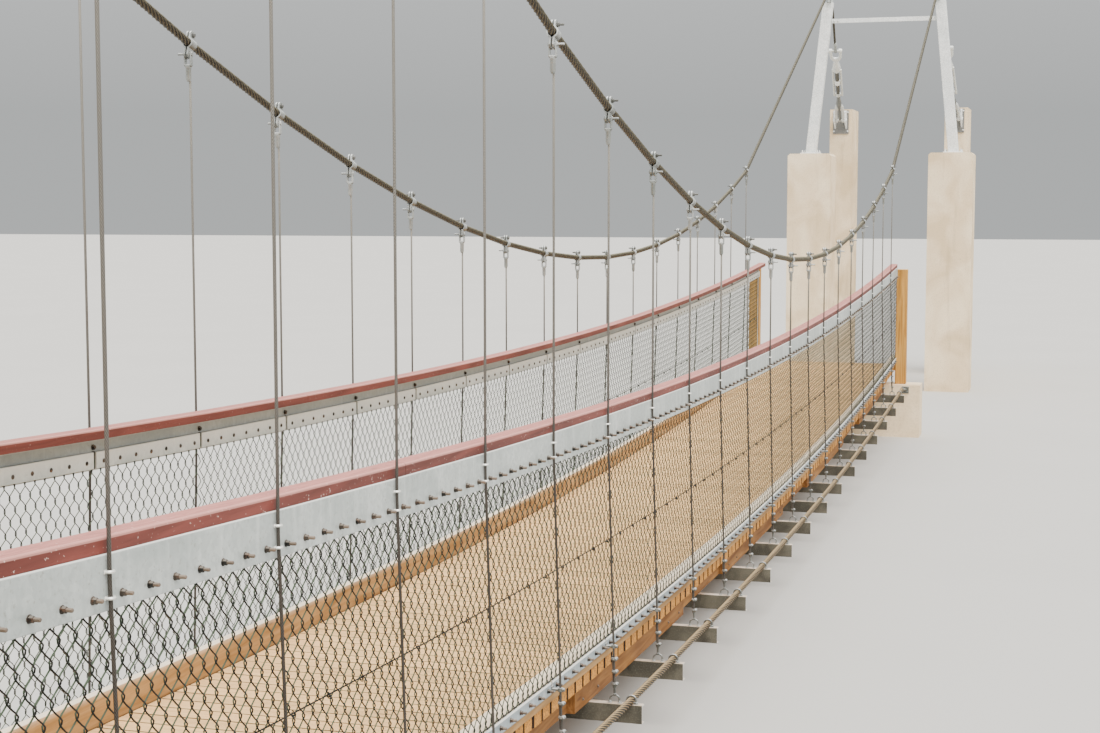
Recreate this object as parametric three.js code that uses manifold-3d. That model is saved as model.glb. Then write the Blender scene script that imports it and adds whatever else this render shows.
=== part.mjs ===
// Suspension footbridge for walkers: two stranded main cables over short steel towers, a sagging
// timber deck on steel cross members, and waist-high sides of chain-link mesh.
// Millimetres. +X runs along the span, +Y is the left side, +Z is up, and Z = 0 is the floor that
// the piers, anchors, bank seats and end posts stand on. X = 0 is midway between the towers.
import * as THREE from 'three';
import { mergeVertices } from 'three/addons/utils/BufferGeometryUtils.js';
import Module from 'manifold-3d';

const wasm = await Module();
wasm.setup();

const SIDES = [['left', 1], ['right', -1]];
const ENDS = [['near', -1], ['far', 1]];

// Setting out along the span
const BAY = 1000; // from one hanger to the next
const FIRST_HANGER = -12 * BAY;
const LAST_HANGER = 7 * BAY;
const DECK_START = -13.1 * BAY;
const DECK_END = 8.1 * BAY;
const TOWER_X = 14200; // towers stand at plus and minus this
const SEAT = 0.3; // clearance between two pieces that touch
const JOIN = 3; // how far two shapes of one piece run into each other

// Sag of the deck and its sides, measured at the top of the rail plates
const RAIL_LOW_X = -2670;
const RAIL_LOW_Z = 1898;
const RAIL_SAG = 3.0e-6; // rise for each square millimetre away from the low point

// Main cables
const CABLE_LOW_X = 100;
const CABLE_LOW_Z = 2573;
const CABLE_SAG = 19.3e-6;
const CABLE_TOP_Z = 6640; // where the straight runs on both sides of a tower would meet
const CABLE_RADIUS = 20;
const BEND = 300; // how far from a tower the rope starts to bend over its saddle
const BEND_SHARES = [0, 0.125, 0.25, 0.375, 0.49, 0.4995]; // steps of the bend up to its crown
const ROPE_SIDES = 8;

// Distances from the centre line
const HANGER_Y = 934;
const HANGER_FOOT_Y = 975;
const SADDLE_Y = 889;
const LOWER_ROPE_Y = 1067;
const TRANSOM_END_Y = 1130;
const PLATE_FACE = 926; // outer face of the rail plate and the lower strip
const CAP_FACE = 922; // outer face of the handrail cap
const DECK_HALF_WIDTH = 905;
const STRINGER_FACE = 840; // outer face of the outer row of stringers

// Depths below the top of the rail plates
const MESH_TOP = 80;
const RAIL_PLATE_DEPTH = 150;
const STRIP_TOP = 1197;
const STRIP_DEPTH = 60;
const DECK_TOP = 1300;
const DECK_THICKNESS = 72;
const TRANSOM_TOP = 1536;

// Rails and mesh
const PLATE_THICKNESS = 6;
const RAIL_SHELF = 75; // width of the rail plate's flange under the cap
const MESH_THICKNESS = 4;
const MESH_OPENINGS = 12; // coarse openings along a panel, in one row above and one below its middle wire
const MESH_BAR = 16;
const MESH_EDGE = 10; // from an opening to the rail plate and to the kickboard
const MIDDLE_WIRE_DEPTH = 673; // below the rail line
const MIDDLE_WIRE = 8;
const CAP_WIDTH = 90;
const CAP_DEPTH = 45;

// Timber under and beside the deck
const KICKBOARD_THICKNESS = 45;
const KICKBOARD_DEPTH = 150;
const STRINGER_WIDTH = 45;
const STRINGER_HALF_LENGTH = 1300;
const STRINGER_PITCH = 2 * BAY;
const STRINGER_COUNT = 11;
const ROW_OVERLAP = 1; // the two rows of stringers are bolted face to face
const DECK_SECTIONS = 5;

// Cross members and the lower ropes, in three lengths that meet at the inner ladder ends
const TRANSOM_DEPTH = 100;
const TRANSOM_FLANGE = 50;
const TRANSOM_WALL = 6;
const LADDERS = ['near', 'middle', 'far'];
const INNER_LADDER_ENDS = [-5.5 * BAY, 0.5 * BAY];
const LOWER_ROPE_RADIUS = 17;
const LOWER_ROPE_BITE = 1; // how far a rope is pressed onto a cross member
const ROPE_TAIL = 350; // from the outermost cross member to the end of the lower rope
const LINK_RADIUS = 13;
const LINK_OVERLAP = 20;
const LINK_DROP = 60;
const LINK_PLATE = 90;
const LINK_PLATE_THICKNESS = 12;

// Hangers, with a near and a far length of the lower strip that holds them
const LAST_NEAR_HANGER = -3 * BAY;
const HANGER_RADIUS = 5.5;
const HANGER_SIDES = 6;
const FERRULE_RADIUS = 13.5;
const FERRULE_LENGTH = 130;
const CLAMP_LENGTH = 64;
const CLAMP_WIDTH = 58;
const CLAMP_ABOVE = 42;
const CLAMP_BELOW = 62;
const CLIP = 30; // the clip between a hanger and the lower strip
const BOW_WIDTH = 56;
const BOW_HEIGHT = 52;
const BOW_ROD = 11;

// Towers
const PIER_TOP = 3905;
const PIER_SIZE = 710;
const PIER_Y = 1150;
const PIER_CHAMFER = 35;
const LEG_FOOT_Y = 1170;
const LEG_WIDTH = 170;
const LEG_DEPTH = 150;
const LEG_TOP = 6400;
const BASE_PLATE = 320;
const BASE_PLATE_THICKNESS = 20;
const CROSSBAR_Z = 6100;
const CROSSBAR_DEPTH = 70;
const CROSSBAR_THICKNESS = 12;
const CLEAT_LENGTH = 150; // the plate on a leg that the cross bar is bolted to
const SADDLE_GROOVE = 22; // from the middle of the rope to a cheek plate
const SADDLE_CHEEK = 12;

// Backstays and anchors
const ANCHOR_X = 16650;
const ANCHOR_Y = 1020;
const ANCHOR_Z = 4580;
const ANCHOR_FRONT = 16800;
const ANCHOR_BACK = 17700;
const ANCHOR_TOP = 4780;
const ANCHOR_WIDTH = 400;
const LUG_GAP = 170; // between the two lugs that hold the backstay's pin
const LUG_THICKNESS = 24;
const LUG_NOSE = 60; // how far a lug reaches in front of the pin, and below it there
const LUG_ROOT = 150; // how far a lug reaches below the pin where it meets its plate
const LUG_PLATE_WIDTH = 280;
const LUG_PLATE_ABOVE = 180;
const LUG_CORNER = 20; // how far the front top corner of a lug lies below its plate
const LUG_PLATE_BELOW = 240;
const PIN_RADIUS = 22;

// What follows the rope along a backstay: where each piece starts and ends as a share of the way
// from the tower to the anchor pin, its radius, and its distance to either side of the line
const BACKSTAY_ROPE_END = 0.45;
const BACKSTAY_FITTINGS = [
  { from: 0.43, to: 0.5, radius: 38, aside: 0 }, // socket on the rope
  { from: 0.49, to: 0.565, radius: 18, aside: 85 }, // arms of the bow shackle
  { from: 0.555, to: 0.585, radius: 100, aside: 0 }, // crown of the bow shackle
  { from: 0.58, to: 0.635, radius: 75, aside: 0 }, // upper jaw of the rigging screw
  { from: 0.63, to: 0.7, radius: 22, aside: 0 }, // upper screw
  { from: 0.69, to: 0.71, radius: 44, aside: 0 }, // nut
  { from: 0.7, to: 0.84, radius: 22, aside: 0 }, // lower screw
  { from: 0.62, to: 0.84, radius: 13, aside: 62 }, // side bars of the rigging screw
  { from: 0.83, to: 0.87, radius: 75, aside: 0 }, // lower jaw
  { from: 0.86, to: 0.93, radius: 26, aside: 0 }, // neck of the fork
  { from: 0.92, to: 0.945, radius: 72, aside: 0 }, // crown of the fork
  { from: 0.94, to: 1.0, radius: 18, aside: 54 }, // arms of the fork, on the anchor pin
];
const SHACKLE_PIN = { share: 0.495, radius: 17, reach: 115 };

// End posts and bank seats
const POST_SIZE = 140;
const POST_FACE = 912; // inner face
const POST_X = 8000;
const POST_NEAR_X = -13000;
const POST_BELOW_RAIL = 30;
const BANK_SEAT_WIDTH = 2500;
const BANK_SEAT_LENGTH = 420;

const bridge = new THREE.Group();

// Materials, each made fresh for its piece
function finish(color, roughness, metalness) {
  return new THREE.MeshStandardMaterial({ color, roughness, metalness });
}

const galvanised = () => finish(0xa9b1b3, 0.5, 0.7);
const wireRope = () => finish(0x6e6553, 0.65, 0.5);
const deckTimber = () => finish(0xcbab80, 0.85, 0);
const orangeTimber = () => finish(0xb5793f, 0.8, 0);
const redTimber = () => finish(0x8e4a3c, 0.6, 0);
const postTimber = () => finish(0xc08a45, 0.8, 0);
const meshWire = () => finish(0x2c3f36, 0.5, 0.1);
const concrete = () => finish(0xcfc7b5, 0.9, 0);

function addPart(name, geometry, material) {
  const mesh = new THREE.Mesh(geometry, material);
  mesh.name = name;
  bridge.add(mesh);
}

// A closed geometry as a solid for joining and cutting
function solidOf(geometry) {
  const bare = geometry.clone();
  bare.deleteAttribute('normal');
  bare.deleteAttribute('uv');
  const merged = mergeVertices(bare, 1e-3);
  return new wasm.Manifold(new wasm.Mesh({
    numProp: 3,
    vertProperties: new Float32Array(merged.attributes.position.array),
    triVerts: new Uint32Array(merged.index.array),
  }));
}

function geometryOf(solid) {
  const mesh = solid.getMesh();
  const geometry = new THREE.BufferGeometry();
  geometry.setAttribute('position', new THREE.BufferAttribute(new Float32Array(mesh.vertProperties), 3));
  geometry.setIndex(new THREE.BufferAttribute(new Uint32Array(mesh.triVerts), 1));
  geometry.computeVertexNormals();
  return geometry;
}

function joined(geometries) {
  let solid = solidOf(geometries[0]);
  for (const geometry of geometries.slice(1)) {
    solid = solid.add(solidOf(geometry));
  }
  return geometryOf(solid);
}

// A box between two opposite corners, given in any order
function block(xA, xB, yA, yB, zA, zB) {
  const geometry = new THREE.BoxGeometry(Math.abs(xB - xA), Math.abs(yB - yA), Math.abs(zB - zA));
  return geometry.translate((xA + xB) / 2, (yA + yB) / 2, (zA + zB) / 2);
}

// An outline in the X-Z plane, given thickness between two Y values
function acrossBridge(points, yA, yB) {
  const outline = new THREE.Shape(points.map(([x, z]) => new THREE.Vector2(x, z)));
  const thickness = Math.abs(yB - yA);
  const geometry = new THREE.ExtrudeGeometry(outline, { depth: thickness, bevelEnabled: false });
  return geometry.rotateX(Math.PI / 2).translate(0, Math.max(yA, yB), 0);
}

// An outline in the Y-Z plane, given length between two X values
function alongBridge(points, x0, x1) {
  const outline = new THREE.Shape(points.map(([y, z]) => new THREE.Vector2(y, z)));
  const geometry = new THREE.ExtrudeGeometry(outline, { depth: x1 - x0, bevelEnabled: false });
  return geometry.rotateX(Math.PI / 2).rotateZ(Math.PI / 2).translate(x0, 0, 0);
}

function rod(from, to, radius, sides) {
  const start = new THREE.Vector3(...from);
  const end = new THREE.Vector3(...to);
  const axis = end.clone().sub(start);
  const geometry = new THREE.CylinderGeometry(radius, radius, axis.length(), sides);
  const turn = new THREE.Quaternion().setFromUnitVectors(new THREE.Vector3(0, 1, 0), axis.normalize());
  const middle = start.add(end).multiplyScalar(0.5);
  return geometry.applyQuaternion(turn).translate(middle.x, middle.y, middle.z);
}

// A line through given points that is stepped from one point to the next
class Stations extends THREE.Curve {
  constructor(points) {
    super();
    this.points = points;
  }

  getPoint(part, target = new THREE.Vector3()) {
    const place = Math.min(Math.max(part, 0), 1) * (this.points.length - 1);
    const index = Math.min(Math.floor(place), this.points.length - 2);
    return target.lerpVectors(this.points[index], this.points[index + 1], place - index);
  }

  getPointAt(part, target) {
    return this.getPoint(part, target);
  }

  getTangentAt(part, target) {
    return this.getTangent(part, target);
  }
}

function ropeAlong(points, radius) {
  const corners = [];
  for (let corner = 0; corner < ROPE_SIDES; corner += 1) {
    const angle = (2 * Math.PI * corner) / ROPE_SIDES;
    corners.push(new THREE.Vector2(radius * Math.cos(angle), radius * Math.sin(angle)));
  }
  return new THREE.ExtrudeGeometry(new THREE.Shape(corners), {
    steps: points.length - 1,
    bevelEnabled: false,
    extrudePath: new Stations(points),
  });
}

// Height of the rail line, straight from one hanger to the next
function railZ(x) {
  const atStation = (station) => RAIL_LOW_Z + RAIL_SAG * (station * BAY - RAIL_LOW_X) ** 2;
  const station = Math.floor(x / BAY);
  const part = x / BAY - station;
  return atStation(station) * (1 - part) + atStation(station + 1) * part;
}

function cableZ(x) {
  return CABLE_LOW_Z + CABLE_SAG * (x - CABLE_LOW_X) ** 2;
}

// Whole bays from one place to another, both included
function bays(from, to) {
  const places = [];
  for (let x = Math.ceil(from / BAY) * BAY; x <= to; x += BAY) {
    places.push(x);
  }
  return places;
}

// A board or plate that follows the deck, from x0 to x1, between two depths below the rail line
function followingDeck(x0, x1, topDepth, bottomDepth, yA, yB) {
  const stations = [x0, ...bays(x0 + 1, x1 - 1), x1];
  const bottom = stations.map((x) => [x, railZ(x) - bottomDepth]);
  const top = stations.map((x) => [x, railZ(x) - topDepth]).reverse();
  return acrossBridge([...bottom, ...top], yA, yB);
}

// Main cables and their clamps

// Straight run from the outermost hanger to the tower
function spanLineZ(x, end) {
  const from = end < 0 ? FIRST_HANGER : LAST_HANGER;
  const part = (x - from) / (end * TOWER_X - from);
  return cableZ(from) + part * (CABLE_TOP_Z - cableZ(from));
}

// A point of the straight run from a tower to its anchor
function backstayPoint(end, side, part) {
  const start = BEND / (ANCHOR_X - TOWER_X);
  const splay = Math.max(0, (part - start) / (1 - start));
  const x = TOWER_X + (ANCHOR_X - TOWER_X) * part;
  const y = SADDLE_Y + (ANCHOR_Y - SADDLE_Y) * splay;
  const z = CABLE_TOP_Z + (ANCHOR_Z - CABLE_TOP_Z) * part;
  return new THREE.Vector3(end * x, side * y, z);
}

// The bend over a saddle, from the span side to the backstay side
function saddleBend(end, side) {
  const spanX = end * (TOWER_X - BEND);
  return new THREE.QuadraticBezierCurve3(
    new THREE.Vector3(spanX, side * SADDLE_Y, spanLineZ(spanX, end)),
    new THREE.Vector3(end * TOWER_X, side * SADDLE_Y, CABLE_TOP_Z),
    backstayPoint(end, side, BEND / (ANCHOR_X - TOWER_X)),
  );
}

function mainCable(side) {
  const upToCrown = (end) => BEND_SHARES.map((part) => saddleBend(end, side).getPoint(part));
  const stations = bays(FIRST_HANGER, LAST_HANGER);
  const points = stations.map((x) => new THREE.Vector3(x, side * HANGER_Y, cableZ(x)));
  const rope = ropeAlong([...upToCrown(-1).reverse(), ...points, ...upToCrown(1)], CABLE_RADIUS);
  const y = side * HANGER_Y;
  const clamps = stations.map((x) => block(
    x - CLAMP_LENGTH / 2, x + CLAMP_LENGTH / 2,
    y - CLAMP_WIDTH / 2, y + CLAMP_WIDTH / 2,
    cableZ(x) - CLAMP_BELOW, cableZ(x) + CLAMP_ABOVE,
  ));
  return joined([rope, ...clamps]);
}

for (const [sideName, side] of SIDES) {
  addPart(`${sideName}_main_cable`, mainCable(side), wireRope());
}

// Hangers, each with its ferrule, its clip on the lower strip and its bow foot on a cross member

// The bow that stands on a cross member, as a closed outline in Y and Z
function bowOutline(y, foot, top) {
  const half = BOW_WIDTH / 2;
  const inner = half - BOW_ROD;
  const shoulder = top - BOW_ROD;
  const underside = shoulder - BOW_ROD;
  return [
    [-half, foot], [-inner, foot], [-inner, underside], [inner, underside], [inner, foot],
    [half, foot], [half, shoulder], [half / 2, top], [-half / 2, top], [-half, shoulder],
  ].map(([along, height]) => [y + along, height]);
}

function hanger(x, side) {
  const y = side * HANGER_Y;
  const footY = side * HANGER_FOOT_Y;
  const ferruleTop = cableZ(x) - CLAMP_BELOW - SEAT;
  const ferruleBase = ferruleTop - FERRULE_LENGTH;
  const clipZ = railZ(x) - RAIL_PLATE_DEPTH / 2;
  const stripZ = railZ(x) - STRIP_TOP - STRIP_DEPTH / 2;
  const transomZ = Math.max(railZ(x - BOW_ROD / 2), railZ(x + BOW_ROD / 2)) - TRANSOM_TOP;
  const bowTop = transomZ + BOW_HEIGHT;
  const lean = (clipZ - stripZ) / (clipZ - bowTop + BOW_ROD);
  const rodY = y + (footY - y) * lean;
  return [
    rod([x, y, ferruleBase], [x, y, ferruleTop], FERRULE_RADIUS, HANGER_SIDES),
    rod([x, y, clipZ], [x, y, ferruleBase + JOIN], HANGER_RADIUS, HANGER_SIDES),
    rod([x, footY, bowTop - BOW_ROD], [x, y, clipZ + JOIN], HANGER_RADIUS, HANGER_SIDES),
    block(x - CLIP / 2, x + CLIP / 2, side * (PLATE_FACE - JOIN), rodY, stripZ - CLIP / 2, stripZ + CLIP / 2),
    alongBridge(bowOutline(footY, transomZ + SEAT, bowTop), x - BOW_ROD / 2, x + BOW_ROD / 2),
  ];
}

function hangersWithStrip(x0, x1, side) {
  const inner = PLATE_FACE - PLATE_THICKNESS;
  const strip = followingDeck(x0, x1, STRIP_TOP, STRIP_TOP + STRIP_DEPTH, side * PLATE_FACE, side * inner);
  const from = Math.max(x0, FIRST_HANGER);
  const to = Math.min(x1, LAST_HANGER);
  return joined([strip, ...bays(from, to).flatMap((x) => hanger(x, side))]);
}

const RAIL_START = POST_NEAR_X + POST_SIZE / 2 + SEAT;
const RAIL_END = POST_X - POST_SIZE / 2 - SEAT;
const STRIP_BREAK = LAST_NEAR_HANGER + BAY / 2;

for (const [sideName, side] of SIDES) {
  const near = hangersWithStrip(RAIL_START, STRIP_BREAK - SEAT / 2, side);
  const far = hangersWithStrip(STRIP_BREAK + SEAT / 2, RAIL_END, side);
  addPart(`near_${sideName}_hangers_with_strip`, near, galvanised());
  addPart(`far_${sideName}_hangers_with_strip`, far, galvanised());
}

// Bank seats: the face towards the span, and the top that carries the stringers

function seatFace(end) {
  return (end < 0 ? POST_NEAR_X : POST_X) - (end * BANK_SEAT_LENGTH) / 2;
}

function seatTop(end) {
  return railZ(seatFace(end)) - TRANSOM_TOP;
}

// Cross members and the lower ropes that tie their ends

// A channel with its web towards the near end, tilted with the slope of the deck
function transom(x) {
  const back = x - TRANSOM_FLANGE / 2;
  const front = x + TRANSOM_FLANGE / 2;
  const web = back + TRANSOM_WALL;
  const lower = TRANSOM_DEPTH - TRANSOM_WALL;
  const channel = [
    [back, TRANSOM_DEPTH], [front, TRANSOM_DEPTH], [front, lower], [web, lower],
    [web, TRANSOM_WALL], [front, TRANSOM_WALL], [front, 0], [back, 0],
  ].map(([place, depth]) => [place, railZ(place) - TRANSOM_TOP - depth]);
  return acrossBridge(channel, -TRANSOM_END_Y, TRANSOM_END_Y);
}

function lowerRope(x0, x1, side) {
  const height = (x) => railZ(x) - TRANSOM_TOP + LOWER_ROPE_RADIUS - LOWER_ROPE_BITE;
  const stations = [x0, ...bays(x0 + 1, x1 - 1), x1];
  const points = stations.map((x) => new THREE.Vector3(x, side * LOWER_ROPE_Y, height(x)));
  return { rope: ropeAlong(points, LOWER_ROPE_RADIUS), tip: end => points[end < 0 ? 0 : points.length - 1] };
}

// The rod from the end of a lower rope down to its plate on the bank seat
function ropeLink(tip, end) {
  const outside = seatFace(end) - end * SEAT;
  const inside = outside - end * LINK_PLATE_THICKNESS;
  const z = seatTop(end) - LINK_DROP;
  const half = LINK_PLATE / 2;
  const { x, y } = tip;
  return [
    rod([x - end * LINK_OVERLAP, y, tip.z], [inside + end * JOIN, y, z], LINK_RADIUS, HANGER_SIDES),
    block(inside, outside, y - half, y + half, z - half, z + half),
  ];
}

const ladderEnds = [FIRST_HANGER - ROPE_TAIL, ...INNER_LADDER_ENDS, LAST_HANGER + ROPE_TAIL];

LADDERS.forEach((ladderName, index) => {
  const x0 = ladderEnds[index] + (index > 0 ? SEAT / 2 : 0);
  const x1 = ladderEnds[index + 1] - (index < LADDERS.length - 1 ? SEAT / 2 : 0);
  const pieces = bays(x0 + ROPE_TAIL, x1 - ROPE_TAIL).map(transom);
  for (const [, side] of SIDES) {
    const { rope, tip } = lowerRope(x0, x1, side);
    pieces.push(rope);
    if (index === 0) {
      pieces.push(...ropeLink(tip(-1), -1));
    }
    if (index === LADDERS.length - 1) {
      pieces.push(...ropeLink(tip(1), 1));
    }
  }
  addPart(`${ladderName}_cross_members_with_ropes`, joined(pieces), galvanised());
});

// Stringers in two rows, lapped past each other over every second cross member

function stringers(side) {
  const top = DECK_TOP + DECK_THICKNESS + SEAT;
  const bottom = TRANSOM_TOP - SEAT;
  const pieces = [];
  for (let index = 0; index < STRINGER_COUNT; index += 1) {
    const middle = FIRST_HANGER + index * STRINGER_PITCH;
    const x0 = Math.max(middle - STRINGER_HALF_LENGTH, DECK_START);
    const x1 = Math.min(middle + STRINGER_HALF_LENGTH, DECK_END);
    const outerRow = index % 2 === 1;
    const face = outerRow ? STRINGER_FACE : STRINGER_FACE - STRINGER_WIDTH + ROW_OVERLAP;
    pieces.push(followingDeck(x0, x1, top, bottom, side * face, side * (face - STRINGER_WIDTH)));
  }
  return joined(pieces);
}

// Deck, sides and rails

for (const [sideName, side] of SIDES) {
  addPart(`${sideName}_stringers`, stringers(side), orangeTimber());
}

const sectionLength = (DECK_END - DECK_START) / DECK_SECTIONS;
for (let section = 0; section < DECK_SECTIONS; section += 1) {
  const x0 = DECK_START + section * sectionLength + SEAT / 2;
  const x1 = DECK_START + (section + 1) * sectionLength - SEAT / 2;
  const slab = followingDeck(x0, x1, DECK_TOP, DECK_TOP + DECK_THICKNESS, -DECK_HALF_WIDTH, DECK_HALF_WIDTH);
  addPart(`deck_boards_${section + 1}`, slab, deckTimber());
}

// A mesh panel, open on both sides of its middle wire
function openPanel(panel, side) {
  const length = (RAIL_END - RAIL_START - MESH_BAR) / MESH_OPENINGS;
  const rows = [
    [RAIL_PLATE_DEPTH + MESH_EDGE, MIDDLE_WIRE_DEPTH - MIDDLE_WIRE / 2],
    [MIDDLE_WIRE_DEPTH + MIDDLE_WIRE / 2, DECK_TOP - KICKBOARD_DEPTH - MESH_EDGE],
  ];
  const outside = side * (PLATE_FACE + JOIN);
  const inside = side * (PLATE_FACE - RAIL_SHELF);
  let solid = solidOf(panel);
  for (let index = 0; index < MESH_OPENINGS; index += 1) {
    const x0 = RAIL_START + MESH_BAR + index * length;
    const x1 = x0 + length - MESH_BAR;
    for (const [top, bottom] of rows) {
      solid = solid.subtract(solidOf(followingDeck(x0, x1, top, bottom, outside, inside)));
    }
  }
  return geometryOf(solid);
}

for (const [sideName, side] of SIDES) {
  const plateInner = PLATE_FACE - PLATE_THICKNESS;
  const meshOuter = plateInner - SEAT;
  const meshInner = meshOuter - MESH_THICKNESS;
  const kickOuter = meshInner - SEAT;
  const kickInner = kickOuter - KICKBOARD_THICKNESS;
  const kickTop = DECK_TOP - KICKBOARD_DEPTH;
  const piece = (top, bottom, outer, inner) => (
    followingDeck(RAIL_START, RAIL_END, top, bottom, side * outer, side * inner)
  );
  const web = piece(0, RAIL_PLATE_DEPTH, PLATE_FACE, plateInner);
  const shelf = piece(0, PLATE_THICKNESS, PLATE_FACE, PLATE_FACE - RAIL_SHELF);
  const cap = piece(-CAP_DEPTH - SEAT, -SEAT, CAP_FACE, CAP_FACE - CAP_WIDTH);
  const mesh = piece(MESH_TOP, STRIP_TOP + STRIP_DEPTH, meshOuter, meshInner);
  const kickboard = piece(kickTop, DECK_TOP - SEAT, kickOuter, kickInner);
  addPart(`${sideName}_rail_plate`, joined([web, shelf]), galvanised());
  addPart(`${sideName}_handrail_cap`, cap, redTimber());
  addPart(`${sideName}_mesh_panel`, openPanel(mesh, side), meshWire());
  addPart(`${sideName}_kickboard`, kickboard, orangeTimber());
}

// Towers, their piers, saddles and cross bars

function legY(z) {
  const lean = (LEG_FOOT_Y - SADDLE_Y) / (CABLE_TOP_Z - PIER_TOP);
  return LEG_FOOT_Y - lean * (z - PIER_TOP);
}

// A leg with its base plate and the cleat for the cross bar
function towerLeg(end, side) {
  const x = end * TOWER_X;
  const foot = PIER_TOP + SEAT + BASE_PLATE_THICKNESS;
  const halfWidth = LEG_WIDTH / 2;
  const outline = [
    [legY(foot) - halfWidth, foot - 1], [legY(foot) + halfWidth, foot - 1],
    [legY(LEG_TOP) + halfWidth, LEG_TOP], [legY(LEG_TOP) - halfWidth, LEG_TOP],
  ].map(([y, z]) => [side * y, z]);
  const plateY = side * LEG_FOOT_Y;
  const half = BASE_PLATE / 2;
  const cleatRoot = side * legY(CROSSBAR_Z);
  const cleatTip = side * (legY(CROSSBAR_Z) - halfWidth - CLEAT_LENGTH);
  const cleatHalf = CROSSBAR_DEPTH / 2;
  return joined([
    alongBridge(outline, x - LEG_DEPTH / 2, x + LEG_DEPTH / 2),
    block(x - half, x + half, plateY - half, plateY + half, PIER_TOP + SEAT, foot),
    block(
      x - CROSSBAR_THICKNESS / 2, x + CROSSBAR_THICKNESS / 2, cleatRoot, cleatTip,
      CROSSBAR_Z - cleatHalf, CROSSBAR_Z + cleatHalf,
    ),
  ]);
}

function crossbar(end) {
  const inside = end * (TOWER_X - CROSSBAR_THICKNESS / 2 - SEAT);
  const outside = inside - end * CROSSBAR_THICKNESS;
  const half = CROSSBAR_DEPTH / 2;
  const reach = legY(CROSSBAR_Z + half) - LEG_WIDTH / 2 - SEAT;
  return block(inside, outside, -reach, reach, CROSSBAR_Z - half, CROSSBAR_Z + half);
}

function pier(end, side) {
  const x = end * TOWER_X;
  const half = PIER_SIZE / 2;
  const slim = half - PIER_CHAMFER;
  const shoulder = PIER_TOP - PIER_CHAMFER;
  const outline = [
    [-half, 0], [half, 0], [half, shoulder], [slim, PIER_TOP], [-slim, PIER_TOP], [-half, shoulder],
  ].map(([y, z]) => [side * PIER_Y + y, z]);
  return alongBridge(outline, x - half, x + half);
}

// A bed under the rope between two cheek plates
function saddle(end, side) {
  const y = side * SADDLE_Y;
  const bend = saddleBend(end, side);
  const under = [0.25, 0.375, 0.5, 0.625, 0.75].map((part) => {
    const centre = bend.getPoint(part);
    const along = bend.getTangent(part);
    return [centre.x, centre.z - CABLE_RADIUS / Math.abs(along.x) - 3 * SEAT];
  });
  const over = [under[4], under[0]].map(([x, z]) => [x, z + 2 * CABLE_RADIUS]);
  const foot = [[under[0][0], LEG_TOP + SEAT], [under[4][0], LEG_TOP + SEAT]];
  const outer = SADDLE_GROOVE + SADDLE_CHEEK;
  const crown = bend.getPoint(0.5);
  const cheek = [...foot, over[0], [crown.x, crown.z + 2 * CABLE_RADIUS], over[1]];
  return joined([
    acrossBridge([...foot, ...under.reverse()], y - outer, y + outer),
    acrossBridge(cheek, y - outer, y - SADDLE_GROOVE),
    acrossBridge(cheek, y + SADDLE_GROOVE, y + outer),
  ]);
}

for (const [endName, end] of ENDS) {
  for (const [sideName, side] of SIDES) {
    addPart(`${endName}_${sideName}_pier`, pier(end, side), concrete());
    addPart(`${endName}_${sideName}_tower_leg`, towerLeg(end, side), galvanised());
    addPart(`${endName}_${sideName}_saddle`, saddle(end, side), galvanised());
  }
  addPart(`${endName}_tower_crossbar`, crossbar(end), galvanised());
}

// Backstays with their rigging screws, and the anchor blocks

function backstay(end, side) {
  const at = (share, sideways = 0) => {
    const point = backstayPoint(end, side, share);
    return [point.x, point.y + sideways, point.z];
  };
  const bend = saddleBend(end, side);
  const points = BEND_SHARES.map((part) => bend.getPoint(1 - part)).reverse();
  points.push(backstayPoint(end, side, BACKSTAY_ROPE_END));
  const pieces = [ropeAlong(points, CABLE_RADIUS)];
  for (const { from, to, radius, aside } of BACKSTAY_FITTINGS) {
    for (const sideways of aside > 0 ? [aside, -aside] : [0]) {
      pieces.push(rod(at(from, sideways), at(to, sideways), radius, ROPE_SIDES));
    }
  }
  const { share, radius, reach } = SHACKLE_PIN;
  const pinReach = LUG_GAP / 2 - SEAT;
  pieces.push(rod(at(share, reach), at(share, -reach), radius, ROPE_SIDES));
  pieces.push(rod(at(1, pinReach), at(1, -pinReach), PIN_RADIUS, ROPE_SIDES));
  return joined(pieces);
}

function anchor(end, side) {
  const y = side * ANCHOR_Y;
  const half = ANCHOR_WIDTH / 2;
  return block(end * ANCHOR_FRONT, end * ANCHOR_BACK, y - half, y + half, 0, ANCHOR_TOP);
}

// Two lugs on a plate at the front of an anchor block
function anchorLugs(end, side) {
  const y = side * ANCHOR_Y;
  const back = end * (ANCHOR_FRONT - SEAT);
  const front = back - end * LUG_THICKNESS;
  const nose = end * (ANCHOR_X - LUG_NOSE);
  const half = LUG_PLATE_WIDTH / 2;
  const inner = LUG_GAP / 2;
  const outer = inner + LUG_THICKNESS;
  const lug = [
    [back - end, ANCHOR_Z - LUG_ROOT], [nose, ANCHOR_Z - LUG_NOSE],
    [nose, ANCHOR_Z + LUG_PLATE_ABOVE - LUG_CORNER], [back - end, ANCHOR_Z + LUG_PLATE_ABOVE],
  ];
  return joined([
    block(back, front, y - half, y + half, ANCHOR_Z - LUG_PLATE_BELOW, ANCHOR_Z + LUG_PLATE_ABOVE),
    acrossBridge(lug, y - outer, y - inner),
    acrossBridge(lug, y + inner, y + outer),
  ]);
}

for (const [endName, end] of ENDS) {
  for (const [sideName, side] of SIDES) {
    addPart(`${endName}_${sideName}_backstay`, backstay(end, side), wireRope());
    addPart(`${endName}_${sideName}_anchor_block`, anchor(end, side), concrete());
    addPart(`${endName}_${sideName}_anchor_lugs`, anchorLugs(end, side), galvanised());
  }
}

// End posts and bank seats

function endPost(end, side) {
  const x = end < 0 ? POST_NEAR_X : POST_X;
  const half = POST_SIZE / 2;
  const top = railZ(x) - POST_BELOW_RAIL;
  const outer = POST_FACE + POST_SIZE;
  return block(x - half, x + half, side * POST_FACE, side * outer, seatTop(end) + SEAT, top);
}

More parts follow.
